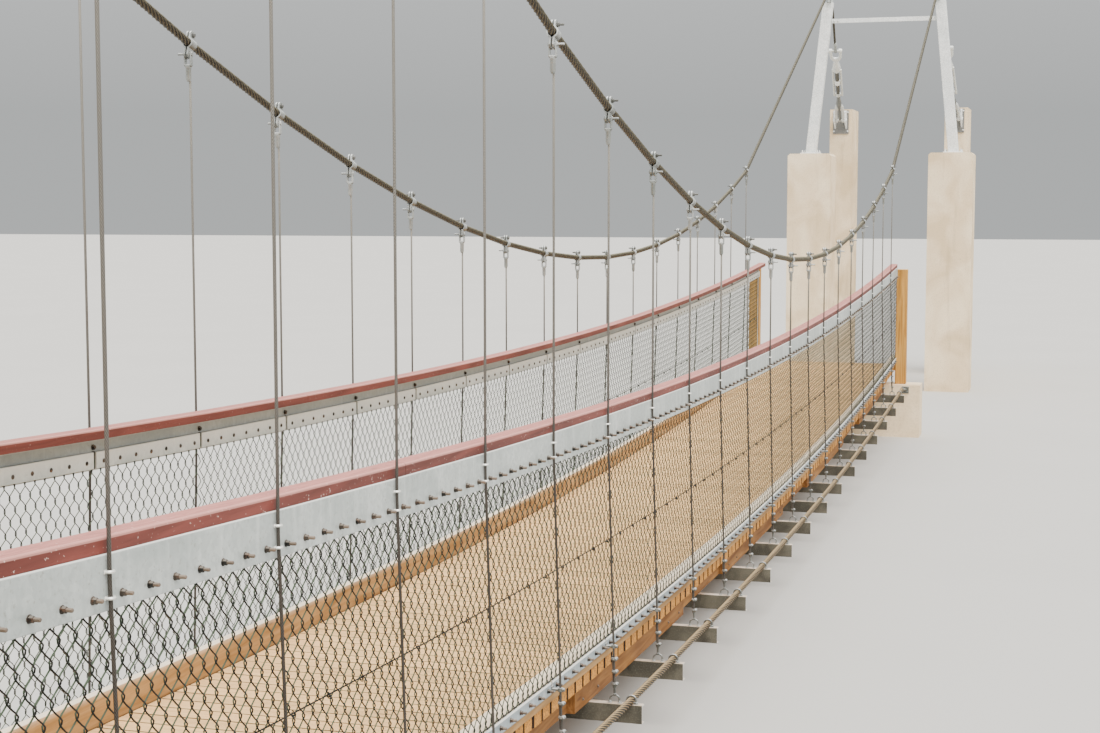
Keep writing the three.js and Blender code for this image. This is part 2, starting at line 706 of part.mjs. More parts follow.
function bankSeat(end) {
  const face = seatFace(end);
  const width = BANK_SEAT_WIDTH / 2;
  return block(face, face + end * BANK_SEAT_LENGTH, -width, width, 0, seatTop(end));
}

for (const [endName, end] of ENDS) {
  for (const [sideName, side] of SIDES) {
    addPart(`${endName}_${sideName}_end_post`, endPost(end, side), postTimber());
  }
  addPart(`${endName}_bank_seat`, bankSeat(end), concrete());
}

export default bridge;
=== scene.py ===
import math
import random

import bpy
import numpy as np
from mathutils import Matrix, Vector


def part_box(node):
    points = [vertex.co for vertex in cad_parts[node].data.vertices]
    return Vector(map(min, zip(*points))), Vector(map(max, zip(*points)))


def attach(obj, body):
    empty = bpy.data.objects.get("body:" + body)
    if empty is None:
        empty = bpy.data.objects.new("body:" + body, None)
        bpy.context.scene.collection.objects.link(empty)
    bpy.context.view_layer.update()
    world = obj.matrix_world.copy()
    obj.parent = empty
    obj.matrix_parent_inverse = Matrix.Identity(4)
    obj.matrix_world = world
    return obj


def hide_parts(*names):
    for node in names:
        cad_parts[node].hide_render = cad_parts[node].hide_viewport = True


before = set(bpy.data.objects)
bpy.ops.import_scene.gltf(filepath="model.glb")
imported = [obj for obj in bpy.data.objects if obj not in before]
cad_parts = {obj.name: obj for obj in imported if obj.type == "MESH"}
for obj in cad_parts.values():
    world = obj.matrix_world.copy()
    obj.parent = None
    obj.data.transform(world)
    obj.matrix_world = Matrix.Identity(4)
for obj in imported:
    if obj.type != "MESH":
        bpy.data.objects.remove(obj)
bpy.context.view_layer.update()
chance = random.Random(31)

# Stations along the bridge, in metres: X runs along it, Y across it and Z up
SIDES = {"left": 1, "right": -1}
ENDS = {"near": -1, "far": 1}
FIRST_HANGER = -12
LAST_HANGER = 7
HANGERS = range(FIRST_HANGER, LAST_HANGER + 1)
DECK_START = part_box("deck_boards_1")[0].x
DECK_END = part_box("deck_boards_5")[1].x
RAIL_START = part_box("left_handrail_cap")[0].x
RAIL_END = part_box("left_handrail_cap")[1].x
TOWER_X = 14.2

# Rail line and main cable
RAIL_LOW_X = -2.67
RAIL_LOW_Z = 1.898
RAIL_SAG = 0.003
CABLE_LOW_X = 0.1
CABLE_LOW_Z = 2.573
CABLE_SAG = 0.0193
CABLE_TOP_Z = 6.64
CABLE_RADIUS = 0.020
ROPE_RADIUS = 0.0218
SADDLE_BEND = 0.3

# Distances from the middle of the deck
HANGER_Y = 0.934
HANGER_FOOT_Y = 0.975
SADDLE_Y = 0.889
LOWER_ROPE_Y = 1.067
TRANSOM_END_Y = 1.130
PLATE_FACE = 0.926
PLATE_INSIDE = 0.920
MESH_MIDDLE = 0.9177
KICK_OUTSIDE = 0.9154
KICK_INSIDE = 0.8704
CAP_OUTSIDE = 0.922
CAP_INSIDE = 0.832
DECK_HALF_WIDTH = 0.905
STRINGER_FACES = (0.840, 0.796)
STRINGER_WIDTH = 0.045

# Depths below the rail line
PLATE_DEPTH = 0.150
CLAMP_STRIP = (0.068, 0.143)
RAIL_BOLT_DEPTH = 0.1125
MESH_TOP = 0.095
MESH_FOOT = 1.245
TENSION_WIRE_DEPTH = 0.673
STRIP_TOP = 1.197
STRIP_FOOT = 1.257
KICK_TOP = 1.150
DECK_TOP = 1.300
STRINGER_TOP = 1.372
TRANSOM_TOP = 1.536
TRANSOM_DEPTH = 0.100

# Small parts
CLEARANCE = 0.0003
BOLTS_IN_A_BAY = 7
HANGER_RADIUS = 0.0060
LOWER_ROPE_RADIUS = 0.0205
ROPE_STRANDS = 6

# Towers and anchors
PIER_TOP = 3.905
LEG_FOOT_Y = 1.170
LEG_WIDTH = 0.170
LEG_DEPTH = 0.150
LEG_TOP = 6.4
CROSSBAR_Z = 6.1
ANCHOR_X = 16.65
ANCHOR_Y = 1.020
ANCHOR_Z = 4.580
ANCHOR_FRONT = 16.8


def rail_z(x):
    """Height of the rail line, straight from one hanger to the next."""
    station = np.floor(x)
    part = x - station
    here, after = (RAIL_LOW_Z + RAIL_SAG * (s - RAIL_LOW_X) ** 2 for s in (station, station + 1))
    return here * (1 - part) + after * part


def cable_z(x):
    return CABLE_LOW_Z + CABLE_SAG * (x - CABLE_LOW_X) ** 2


def bolt_places():
    """Places of the bolts along the rail, seven to a bay and clear of the hangers."""
    numbers = range((FIRST_HANGER - 1) * BOLTS_IN_A_BAY, (LAST_HANGER + 1) * BOLTS_IN_A_BAY)
    places = [(n + 0.5) / BOLTS_IN_A_BAY for n in numbers]
    return [x for x in places if RAIL_START + 0.05 < x < RAIL_END - 0.05]


def stations(x0, x1):
    """The two ends and each whole metre between them."""
    inner = [x for x in range(math.ceil(x0), math.floor(x1) + 1) if x0 + 1e-3 < x < x1 - 1e-3]
    return [x0, *inner, x1]


def unit(vector):
    vector = np.asarray(vector, float)
    return vector / np.linalg.norm(vector)


def frame_across(axis):
    """Two directions square to an axis and to each other."""
    axis = unit(axis)
    helper = (0, 0, 1) if abs(axis[2]) < 0.9 else (1, 0, 0)
    side = unit(np.cross(axis, helper))
    return side, np.cross(side, axis)


def arc(centre, radius, start, end, steps):
    """Points of an arc in a plane, with its angles in degrees."""
    angles = np.radians(np.linspace(start, end, steps + 1))
    return [(centre[0] + radius * math.cos(a), centre[1] + radius * math.sin(a)) for a in angles]


def rounded_outline(a0, a1, b0, b1, radius, steps=2):
    """A rectangle with round corners, once round from its low corner."""
    outline = []
    for a, b, start in ((a0, b0, 180), (a1, b0, 270), (a1, b1, 0), (a0, b1, 90)):
        centre = (a + radius if a == a0 else a - radius, b + radius if b == b0 else b - radius)
        outline += arc(centre, radius, start, start + 90, steps)
    return outline


def with_wear_and_shading(outline, wear):
    """The points of an outline, each with its wear or all with one."""
    return [(a, b, value) for (a, b), value in zip(outline, np.broadcast_to(wear, len(outline)))]


class Shape:
    """The points and faces of one piece, gathered from many small forms.

    Under zero, wear makes a surface paler: bleaching on some pieces, painted highlight on others. Over zero
    it makes it darker: a grimy look on some pieces, painted shade on others.
    """

    def __init__(self):
        self.points, self.tints, self.wear_and_shading_values = [], [], []
        self.faces, self.uvs = [], []
        self.count = 0
        self.tint = 0.5
        self.wear = 0.0

    def add(self, points, faces, uvs, wear):
        points = np.asarray(points, float).reshape(-1, 3)
        self.points.append(points)
        self.tints.append(np.full(len(points), self.tint))
        self.wear_and_shading_values.append(np.ravel(wear) + self.wear)
        self.faces += [group + self.count for group in faces]
        self.uvs += uvs
        self.count += len(points)

    def rings(self, rings, along=None, wear=0.0):
        """A tube through equal rings of points, closed at its ends."""
        rings = np.asarray(rings, float)
        count, sides = rings.shape[:2]
        wear = np.broadcast_to(wear, (count, sides))
        normal = np.cross(rings, np.roll(rings, -1, axis=1)).sum(axis=1)
        run = rings[1:].mean(axis=1) - rings[:-1].mean(axis=1)
        if (normal[:-1] * run).sum() < 0:
            rings, wear = rings[:, ::-1], wear[:, ::-1]
        grid = np.arange(count * sides).reshape(count, sides)
        after = np.roll(grid, -1, axis=1)
        quads = np.stack([grid[:-1], after[:-1], after[1:], grid[1:]], axis=-1).reshape(-1, 4)
        places = np.arange(count) if along is None else np.asarray(along, float)
        u0 = np.repeat(places[:-1], sides)
        u1 = np.repeat(places[1:], sides)
        v0 = np.tile(np.arange(sides) / sides, count - 1)
        v1 = v0 + 1 / sides
        uv = np.stack([np.stack(pair, -1) for pair in ((u0, v0), (u0, v1), (u1, v1), (u1, v0))], 1)
        caps = np.stack([grid[0][::-1], grid[-1]])
        self.add(rings, [quads, caps], [uv, np.zeros((2, sides, 2))], wear)

    def turned(self, start, end, profile, sides=12):
        """A turned form from start towards end: each step of the profile is (distance, radius)."""
        start = np.asarray(start, float)
        axis = unit(np.asarray(end, float) - start)
        side, up = frame_across(axis)
        angles = 2 * np.pi * (np.arange(sides) + 0.5) / sides
        circle = np.cos(angles)[:, None] * side + np.sin(angles)[:, None] * up
        self.rings([start + axis * distance + circle * radius for distance, radius in profile])

    def rod(self, start, end, radius, sides=8):
        length = np.linalg.norm(np.asarray(end, float) - np.asarray(start, float))
        self.turned(start, end, [(0, radius), (length, radius)], sides)

    def tube(self, path, radius, sides=8, lobes=0, lay=0, groove=0, wear=0.0):
        """A round tube along a path, its wear given for each point of the path or for all of it.

        With lobes it is a laid rope with that many strands.
        """
        path = np.asarray(path, float)
        steps = np.linalg.norm(np.diff(path, axis=0), axis=1)
        along = np.concatenate([[0], np.cumsum(steps)])
        tangents = np.gradient(path, axis=0)
        tangents /= np.linalg.norm(tangents, axis=1)[:, None]
        side = frame_across(tangents[0])[0]
        phi = 2 * np.pi * np.arange(sides) / sides
        share = 1 - groove * (0.5 - 0.5 * np.cos(lobes * phi))
        radii = np.broadcast_to(np.asarray(radius, float), (len(path),))
        rings = []
        for place, tangent, distance, size in zip(path, tangents, along, radii):
            side = unit(side - tangent * side.dot(tangent))
            up = np.cross(tangent, side)
            angle = phi + (2 * np.pi * distance / lay if lay else 0)
            spokes = np.cos(angle)[:, None] * side + np.sin(angle)[:, None] * up
            rings.append(place + spokes * (share * size)[:, None])
        self.rings(rings, along, np.reshape(wear, (-1, 1)))

    def box(self, lo, hi, bevel=0.001):
        """A box with its edges and corners cut off."""
        lo, hi = np.minimum(lo, hi), np.maximum(lo, hi)
        c = min(bevel, 0.45 * float((hi - lo).min()))
        rings = []
        for height, inset in ((lo[2], c), (lo[2] + c, 0), (hi[2] - c, 0), (hi[2], c)):
            x0, x1, y0, y1 = lo[0] + inset, hi[0] - inset, lo[1] + inset, hi[1] - inset
            outline = [(x0 + c, y0), (x1 - c, y0), (x1, y0 + c), (x1, y1 - c),
                       (x1 - c, y1), (x0 + c, y1), (x0, y1 - c), (x0, y0 + c)]
            rings.append([(x, y, height) for x, y in outline])
        self.rings(rings)

    def slab(self, x, half, y, z, bevel=0.001):
        """A box that reaches as far to each side of x, between two values of y and of z."""
        self.box((x - half, y[0], z[0]), (x + half, y[1], z[1]), bevel)

    def following(self, x0, x1, section, side=1):
        """A section of (distance from the middle, depth, wear) that follows the rail line."""
        places = stations(x0, x1)
        rings = [[(x, side * y, rail_z(x) - depth) for y, depth, _ in section] for x in places]
        self.rings(rings, places, [wear for _, _, wear in section])

    def across(self, outline, y0, y1):
        """An outline of (x, z) given thickness from y0 to y1."""
        self.rings([[(x, y, z) for x, z in outline] for y in (y0, y1)])

    def bolt(self, place, direction, radius, height, washer=True):
        """A hexagon head or nut, with or without a washer, standing on a face."""
        place, direction = np.asarray(place, float), unit(direction)
        seat = 0.0025 if washer else 0.0
        if washer:
            self.turned(place, place + direction, [(0, radius * 1.28), (seat, radius * 1.28)], 9)
        base = place + direction * seat
        profile = [(0, radius), (height - radius * 0.14, radius), (height, radius * 0.86)]
        self.turned(base, base + direction, profile, 6)

    def stud(self, place, direction, radius, height, reach, thread):
        """A dark nut with the paler end of its screw showing."""
        place, direction = np.asarray(place, float), unit(direction)
        nut_tint = self.tint
        self.bolt(place, direction, radius, height)
        self.tint = min(1.0, nut_tint + 0.35)
        tip = [(0, thread), (reach - 0.002, thread), (reach, thread * 0.7)]
        self.turned(place, place + direction, tip, 8)
        self.tint = nut_tint

    def piece(self, name, finish, *nodes, sharp=35):
        """Makes the mesh object, and hides the parts of the model that it stands for."""
        mesh = bpy.data.meshes.new(name)
        points = np.concatenate(self.points)
        corners = np.concatenate([group.ravel() for group in self.faces])
        sizes = np.concatenate([np.full(len(group), group.shape[1]) for group in self.faces])
        mesh.vertices.add(len(points))
        mesh.vertices.foreach_set("co", points.ravel())
        mesh.loops.add(len(corners))
        mesh.loops.foreach_set("vertex_index", corners)
        mesh.polygons.add(len(sizes))
        mesh.polygons.foreach_set("loop_start", np.concatenate([[0], np.cumsum(sizes)[:-1]]))
        mesh.update(calc_edges=True)
        uv = np.concatenate([group.ravel() for group in self.uvs])
        mesh.uv_layers.new(name="along").data.foreach_set("uv", uv)
        for attribute, values in (("tint", self.tints), ("wear", self.wear_and_shading_values)):
            layer = mesh.attributes.new(attribute, "FLOAT", "POINT")
            layer.data.foreach_set("value", np.concatenate(values))
        mesh.shade_smooth()
        if sharp:
            mesh.set_sharp_from_angle(angle=math.radians(sharp))
        mesh.materials.append(finish)
        made = bpy.data.objects.new(name, mesh)
        bpy.context.scene.collection.objects.link(made)
        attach(made, "root")
        if nodes:
            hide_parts(*nodes)


# Materials

def shade(colour):
    """A colour such as 8e4a3c as Blender's linear values."""
    parts = [int(colour[i:i + 2], 16) / 255 for i in (0, 2, 4)]
    return (*[p / 12.92 if p <= 0.04045 else ((p + 0.055) / 1.055) ** 2.4 for p in parts], 1)


class Finish:
    """A node material. Its colour is laid on coat by coat, and most methods give back an output."""

    def __init__(self, name, roughness, metallic=0.0, specular=0.5):
        self.material = bpy.data.materials.new(name)
        self.material.use_nodes = True
        self.nodes = self.material.node_tree.nodes
        self.links = self.material.node_tree.links
        self.shader = self.nodes["Principled BSDF"]
        self.shader.inputs["Roughness"].default_value = roughness
        self.shader.inputs["Metallic"].default_value = metallic
        self.shader.inputs["Specular IOR Level"].default_value = specular
        coordinates = self.nodes.new("ShaderNodeTexCoord")
        self.place = coordinates.outputs["Object"]
        self.along = coordinates.outputs["UV"]
        self.colour = None

    def put(self, socket, value):
        if isinstance(value, bpy.types.NodeSocket):
            self.links.new(value, socket)
        else:
            socket.default_value = shade(value) if isinstance(value, str) else value

    def add(self, kind, inputs, **settings):
        node = self.nodes.new(kind)
        for name, value in settings.items():
            setattr(node, name, value)
        for name, value in inputs.items():
            self.put(node.inputs[name], value)
        return node

    def stretched(self, stretch):
        return self.add("ShaderNodeMapping", {"Vector": self.place, "Scale": stretch}).outputs[0]

    def noise(self, scale, stretch=(1, 1, 1), detail=4, distortion=0.0):
        place = self.stretched(stretch)
        inputs = {"Vector": place, "Scale": scale, "Detail": detail, "Distortion": distortion}
        return self.add("ShaderNodeTexNoise", inputs).outputs["Fac"]

    def cells(self, scale, stretch=(1, 1, 1), output="Distance"):
        inputs = {"Vector": self.stretched(stretch), "Scale": scale}
        return self.add("ShaderNodeTexVoronoi", inputs).outputs[output]

    def math(self, operation, a, b=0.0):
        return self.add("ShaderNodeMath", {0: a, 1: b}, operation=operation).outputs[0]

    def spread(self, value, low, high, to_low=0.0, to_high=1.0):
        inputs = {"Value": value, "From Min": low, "From Max": high, "To Min": to_low, "To Max": to_high}
        return self.add("ShaderNodeMapRange", inputs).outputs[0]

    def mix(self, factor, a, b):
        return self.add("ShaderNodeMix", {0: factor, 6: a, 7: b}, data_type="RGBA").outputs[2]

    def coat(self, value, low, high, colour, share=1.0):
        """Lays a colour on where a value goes from low to high, up to a share of the whole."""
        self.colour = self.mix(self.spread(value, low, high, 0, share), self.colour, colour)

    def attribute(self, name):
        return self.add("ShaderNodeAttribute", {}, attribute_name=name).outputs["Fac"]

    def worn_and_shaded(self, pale, darkening):
        """Paler or darker where the points of the mesh say so: bleaching and grimy spots on some pieces,
        painted highlight and painted shade on others.
        """
        wear = self.attribute("wear")
        self.coat(wear, 0, -1, pale)
        self.coat(wear, 0, 1, darkening)

    def facing(self, axis):
        normal = self.add("ShaderNodeNewGeometry", {}).outputs["Normal"]
        return self.add("ShaderNodeSeparateXYZ", {0: normal}).outputs[axis]

    def facing_up(self, low=0.35, high=0.85):
        return self.spread(self.facing("Z"), low, high)

    def facing_side(self):
        return self.spread(self.math("ABSOLUTE", self.facing("Y")), 0.6, 0.9)

    def stripes(self, around, along):
        """Stripes on a rope, so many around it and so many turns to each metre."""
        parts = self.add("ShaderNodeSeparateXYZ", {0: self.along})
        turn = self.math("ADD", self.math("MULTIPLY", parts.outputs["Y"], around),
                         self.math("MULTIPLY", parts.outputs["X"], along))
        wave = self.math("COSINE", self.math("MULTIPLY", turn, 2 * math.pi))
        return self.spread(wave, -1, 1)

    def finish(self, height, strength, distance, roughness=None):
        """Joins colour, bump and roughness to the shader."""
        self.put(self.shader.inputs["Base Color"], self.colour)
        if roughness is not None:
            self.put(self.shader.inputs["Roughness"], roughness)
        inputs = {"Height": height, "Strength": strength, "Distance": distance}
        self.put(self.shader.inputs["Normal"], self.add("ShaderNodeBump", inputs).outputs[0])
        return self.material


def galvanised(name, pale, dark, metallic=0.15, shadow=0.0):
    """Zinc with a spangle of small crystals, faint runs, dull patches and spots; with a shadow share,
    painted shade on faces that look down and a painted highlight on faces that look up.
    """
    f = Finish(name, 0.5, metallic)
    crystals = f.add("ShaderNodeSeparateColor", {0: f.cells(58, output="Color")}).outputs[0]
    runs = f.noise(1.0, (18, 18, 2.4), detail=5)
    patches = f.noise(2.6, (1, 1, 1.6), detail=6, distortion=0.6)
    f.colour = dark
    f.coat(patches, 0.36, 0.66, pale)
    f.coat(crystals, 0, 1, "8b9391", 0.34)
    f.coat(runs, 0.54, 0.76, "eef0ee", 0.3)
    f.coat(runs, 0.36, 0.20, "7f8482", 0.3)
    f.coat(f.noise(75, detail=3), 0.62, 0.74, "7d7869", 0.5)
    if shadow:
        # Painted shade on faces that look down, and a painted highlight on faces that look up
        f.coat(f.facing("Z"), 0.35, -0.75, "34352f", shadow)
        f.coat(f.facing("Z"), 0.40, 0.95, "f6f7f5", 0.75)
    f.worn_and_shaded("f4f4ee", "4a4740")
    return f.finish(f.noise(240, detail=2), 0.12, 0.0006, f.spread(patches, 0.3, 0.7, 0.34, 0.54))


def bolt_steel():
    """Zinc that has gone dark and rusty on bolts and nuts, with paler screw ends."""
    f = Finish("bolt_steel", 0.55, 0.15)
    f.colour = "171511"
    f.coat(f.attribute("tint"), 0.1, 0.8, "93806f")
    # Painted highlight on faces that look up
    f.coat(f.facing("Z"), 0.45, 0.95, "b9aea1", 0.45)
    f.coat(f.noise(55), 0.55, 0.72, "7c5a45", 0.6)
    return f.finish(f.noise(400, detail=2), 0.2, 0.0005)


def wire_rope(name, dark, light, rust, top, wires, valley_shade):
    """Laid wires as fine stripes, each (count around, turns to a metre), with painted shade in the valley
    between strands and a painted highlight on the upper side.
    """
    f = Finish(name, 0.55, 0.1)
    fine = f.stripes(*wires)
    f.colour = dark
    f.coat(fine, 0.1, 0.9, light)
    f.coat(f.noise(7, detail=5), 0.5, 0.75, rust, 0.5)
    # Painted highlight: the upper side paler, as if lit from above
    f.coat(f.facing_up(0.3, 1.0), 0, 1, top, 0.5)
    # Painted shade in the valley between strands
    if valley_shade:
        f.coat(f.stripes(ROPE_STRANDS, 0), 0.80, 0.42, "120e09", valley_shade)
    f.worn_and_shaded("cfccc3", "2c251e")
    return f.finish(fine, 0.6, 0.002)


def timber(name, face, dark, top, pale, darkening, grain, top_light_and_weather, end=None, chips=None, roughness=0.75):
    """Sawn timber: grain along one way, knots, and faces that look up paler, partly from bleaching and
    partly as painted light from above.
    """
    f = Finish(name, roughness, specular=0.3)
    fine = f.noise(1.0, tuple(6 if g else 130 for g in grain), detail=6, distortion=0.3)
    f.colour = dark
    f.coat(f.noise(1.0, tuple(1.2 if g else 16 for g in grain), 3, 1.2), 0.35, 0.68, face)
    f.coat(fine, 0.44, 0.30, dark, 0.45)
    if end:
        f.colour = f.mix(f.facing_side(), f.colour, f.mix(f.spread(fine, 0.35, 0.6), "8f5f2e", end))
    # Faces that look up paler: partly bleaching, partly painted light from above
    bleached_and_lit = f.mix(f.spread(fine, 0.36, 0.60), f.mix(0.3, top, dark), top)
    f.colour = f.mix(f.math("MULTIPLY", f.facing_up(), top_light_and_weather), f.colour, bleached_and_lit)
    f.coat(f.cells(1.0, tuple(1.7 if g else 9.0 for g in grain)), 0.10, 0.055, "5b3620", 0.7)
    f.worn_and_shaded(pale, darkening)
    if chips:
        f.coat(f.noise(95, detail=2), 0.69, 0.72, chips, 0.6)
    value = f.spread(f.attribute("tint"), 0, 1, 0.82, 1.14)
    f.colour = f.add("ShaderNodeHueSaturation", {"Value": value, "Color": f.colour}).outputs[0]
    return f.finish(fine, 0.3, 0.0010)


def mesh_wire():
    """Dark green coated wire: a painted highlight makes the legs of the inner face paler, and painted shade
    makes the legs of the outer face almost black, as are the tension wires.
    """
    f = Finish("mesh_wire", 0.5, 0.0, 0.3)
    f.colour = "0b100d"
    f.coat(f.noise(30), 0.4, 0.7, "1f2a23")
    f.worn_and_shaded("44533f", "020302")
    return f.finish(f.noise(300, detail=2), 0.2, 0.0005)


def concrete():
    """Cast concrete: cream, blotched, streaked and pitted with small air holes."""
    f = Finish("concrete", 0.9, specular=0.2)
    fine = f.noise(45, detail=5)
    f.colour = "dcc39c"
    f.coat(f.noise(1.6, detail=7, distortion=0.8), 0.34, 0.68, "fbe6c4")
    f.coat(fine, 0.45, 0.75, "c3ab86", 0.35)
    f.coat(f.noise(1.0, (9, 9, 0.9)), 0.56, 0.74, "b19b7a", 0.45)
    pit = f.spread(f.cells(34), 0.06, 0.12)
    f.colour = f.mix(pit, "94896f", f.colour)
    height = f.math("ADD", f.math("MULTIPLY", fine, 0.6), f.math("MULTIPLY", pit, 0.5))
    return f.finish(height, 0.4, 0.004)


def channel_steel():
    """Weathered channels: dull olive webs, darkened partly as painted shade, under top flanges paled partly
    by dust and partly as painted light from above.
    """
    f = Finish("channel_steel", 0.65, 0.1)
    patches = f.noise(6, detail=6, distortion=0.5)
    fine = f.noise(120, detail=3)
    # Dark web colours, partly painted shade under the top flange
    f.colour = "3c392f"
    f.coat(patches, 0.36, 0.66, "635e50")
    f.coat(fine, 0.5, 0.7, "8f8a7c", 0.18)
    # Faces that look up paler: partly dust, partly painted light from above
    f.colour = f.mix(f.facing_up(), f.colour, f.mix(f.spread(patches, 0.40, 0.62), "b9a995", "e4d6c6"))
    f.colour = f.mix(f.facing_side(), f.colour, "d9d5cb")
    return f.finish(fine, 0.2, 0.0008)


ALONG, ACROSS, UPRIGHT = (1, 0, 0), (0, 1, 0), (0, 0, 1)

GALVANISED = galvanised("galvanised_steel", "c6cbc8", "a9b1ae")
# A darker, bluer copy of the galvanised steel for the lower strips: painted shade
STRIP_STEEL_PAINTED_SHADE = galvanised("strip_steel_painted_shade", "a7b2b8", "8b979d")
# The last argument gives painted shade underneath and a painted highlight on top
FITTING_STEEL = galvanised("fitting_steel", "dfe1df", "a4a9a5", 0.55, 0.85)
GRIP_STEEL = galvanised("grip_steel", "93938b", "63645d", 0.45, 0.9)
STAY_STEEL = galvanised("stay_steel", "dfe3e0", "b7bdb9", 0.35, 0.5)
TOWER_STEEL = galvanised("tower_steel", "fbfbf8", "e9ebe9", 0.0)
CHANNEL_STEEL = channel_steel()
BOLT_STEEL = bolt_steel()
MAIN_ROPE = wire_rope("main_rope_wire", "3f392c", "766f58", "554a35", "b0a98f", (30, -38), 0.95)
LOWER_ROPE = wire_rope("lower_rope_wire", "64533a", "a98f64", "8f6a4a", "dfc495", (24, -60), 1.0)
HANGER_ROPE = wire_rope("hanger_rope_wire", "4b4842", "a3a097", "8a847a", "c4c1b7", (7, 90), 0)
RED_TIMBER = timber("red_timber", "7c3d34", "592820", "cb877d", "dfa59a", "3d1f18", ALONG, 0.95,
                    chips="f0d5c8", roughness=0.6)
DECK_TIMBER = timber("deck_timber", "ecbb7c", "c7955a", "fdd79c", "ffe6bb", "2b1a0b", ACROSS, 0.85,
                     end="d8963f")
KICK_TIMBER = timber("kick_timber", "bd9663", "946d3d", "f5dcb8", "fbe9cf", "3f2413", ALONG, 0.9)
EDGE_TIMBER = timber("edge_timber", "a47440", "754a22", "f0d9b5", "fbe9cf", "3f2413", ALONG, 0.9)
POST_TIMBER = timber("post_timber", "d3a050", "a0702f", "e6c795", "f0dcba", "4a2f18", UPRIGHT, 0.6)
MESH_WIRE = mesh_wire()
CONCRETE = concrete()

# Edges bent more than this many degrees stay sharp on pieces with broad flat faces
FLAT = 12


# Handrail, with its cap, plate, clamp strips and bolts

CAP_DEPTH = 0.045
CAP_ROUND = 0.008
CAP_LENGTH = 3
CAP_SEAM = -12.88
SEAM = 0.0015
PLATE_LENGTH = 3
PLATE_SEAM = -12.94
PLATE_BEND = 0.005
RAIL_SHELF = 0.075
STEEL = 0.006


def rail_run(section, side, first, length, gap, tints=None):
    """A section along the whole rail, in lengths that meet at first, first + length and so on."""
    cuts = [x for x in np.arange(first, RAIL_END, length) if RAIL_START + 0.2 < x < RAIL_END - 0.2]
    shape = Shape()
    for x0, x1 in zip([RAIL_START, *cuts], [*cuts, RAIL_END]):
        if tints:
            shape.tint = chance.uniform(*tints)
        shape.following(x0 + gap / 2 if x0 != RAIL_START else x0, x1 - gap / 2 if x1 != RAIL_END else x1,
                        section, side)
    return shape


def make_cap(name, side):
    """Paler on top, partly from bleaching and partly as painted light from above, with a scuffed pale edge
    along each side of it.
    """
    foot, top, r = -CLEARANCE, -CAP_DEPTH, CAP_ROUND
    section = [(CAP_OUTSIDE, foot, 0.35), (CAP_OUTSIDE, foot - 0.004, 0), (CAP_OUTSIDE, top + r + 0.002, 0)]
    section += with_wear_and_shading(arc((CAP_OUTSIDE - r, top + r), r, 0, -90, 3), -0.5)
    section += [(CAP_OUTSIDE - r - 0.003, top, 0), (CAP_INSIDE + r + 0.003, top, 0)]
    section += with_wear_and_shading(arc((CAP_INSIDE + r, top + r), r, -90, -180, 3), -0.5)
    section += [(CAP_INSIDE, top + r + 0.002, 0), (CAP_INSIDE, foot - 0.004, 0), (CAP_INSIDE, foot, 0.35)]
    shape = rail_run(section, side, CAP_SEAM, CAP_LENGTH, 2 * SEAM, (0.35, 0.65))
    shape.piece(f"{name}_cap_timber", RED_TIMBER, f"{name}_handrail_cap", sharp=FLAT)


CLAMP_FACES = (PLATE_INSIDE - 0.0113, PLATE_INSIDE - 0.0043)
STRIP_GAP = 0.024


def make_rail_plate(name, side):
    shelf = PLATE_FACE - RAIL_SHELF
    bend = arc((PLATE_FACE - PLATE_BEND, PLATE_BEND), PLATE_BEND, 0, -90, 3)
    # Paler along the top bend as a painted highlight; darker on the inner face and underside as painted
    # shade under the cap
    section = [(PLATE_FACE, PLATE_DEPTH, 0.4), (PLATE_FACE, PLATE_DEPTH - 0.003, 0),
               (PLATE_FACE, 1.3 * PLATE_BEND, 0), *with_wear_and_shading(bend, (-0.1, -0.9, -1, -1)), (shelf, 0, 0),
               (shelf, STEEL, 0), (PLATE_INSIDE, STEEL, 0.3), (PLATE_INSIDE, PLATE_DEPTH, 0.3)]
    shape = rail_run(section, side, PLATE_SEAM, PLATE_LENGTH, SEAM)
    shape.piece(f"{name}_rail_plates", GALVANISED, f"{name}_rail_plate", sharp=FLAT)
    strip = rounded_outline(*CLAMP_FACES, *CLAMP_STRIP, 0.001, 1)
    # Paler top of each clamp strip: painted highlight
    section = with_wear_and_shading(strip, (-0.7, -0.7, -0.5, -0.5, 0, 0, 0, 0))
    strips = rail_run(section, side, FIRST_HANGER, 1, STRIP_GAP)
    strips.piece(f"{name}_rail_clamp_strips", GALVANISED, sharp=FLAT)


def make_rail_bolts(name, side):
    """Studs through the plate, and dark bolts at the hangers inside it, each above a thin dark block in the
    strip gap that is painted shade.
    """
    shape = Shape()
    outward = np.array((0, side, 0))
    head = [(0, 0.0105), (0.003, 0.0100), (0.0062, 0.0050)]
    for x in bolt_places():
        z = rail_z(x) - RAIL_BOLT_DEPTH
        shape.tint = chance.uniform(0.0, 0.22)
        reach = chance.uniform(0.031, 0.037)
        shape.stud((x, side * PLATE_FACE, z), outward, 0.0094, 0.012, reach, 0.0060)
        shape.turned((x, side * CLAMP_FACES[0], z), (x, 0, z), head, 8)
    shape.tint = 0.0
    for x in HANGERS:
        z = rail_z(x)
        shape.bolt((x, side * PLATE_INSIDE, z - RAIL_CLIPS[0]), -outward, 0.0105, 0.010)
        # A thin dark block in the gap between clamp strips: painted shade
        shape.slab(x, 0.0105, (side * (PLATE_INSIDE - CLEARANCE), side * (PLATE_INSIDE - 0.0035)),
                   (z - CLAMP_STRIP[1] - 0.002, z - CLAMP_STRIP[0] + 0.004), 0.0005)
    shape.piece(f"{name}_rail_bolts", BOLT_STEEL)


# Chain-link panels: upright wires, each bent to and fro and hooked into the next

WIRE_PITCH = 0.0375
LEG_HEIGHT = 0.051
WIRE_RADIUS = 0.0025
WIRE_DEPTH = 0.0055
WIRE_REACH = 0.0230

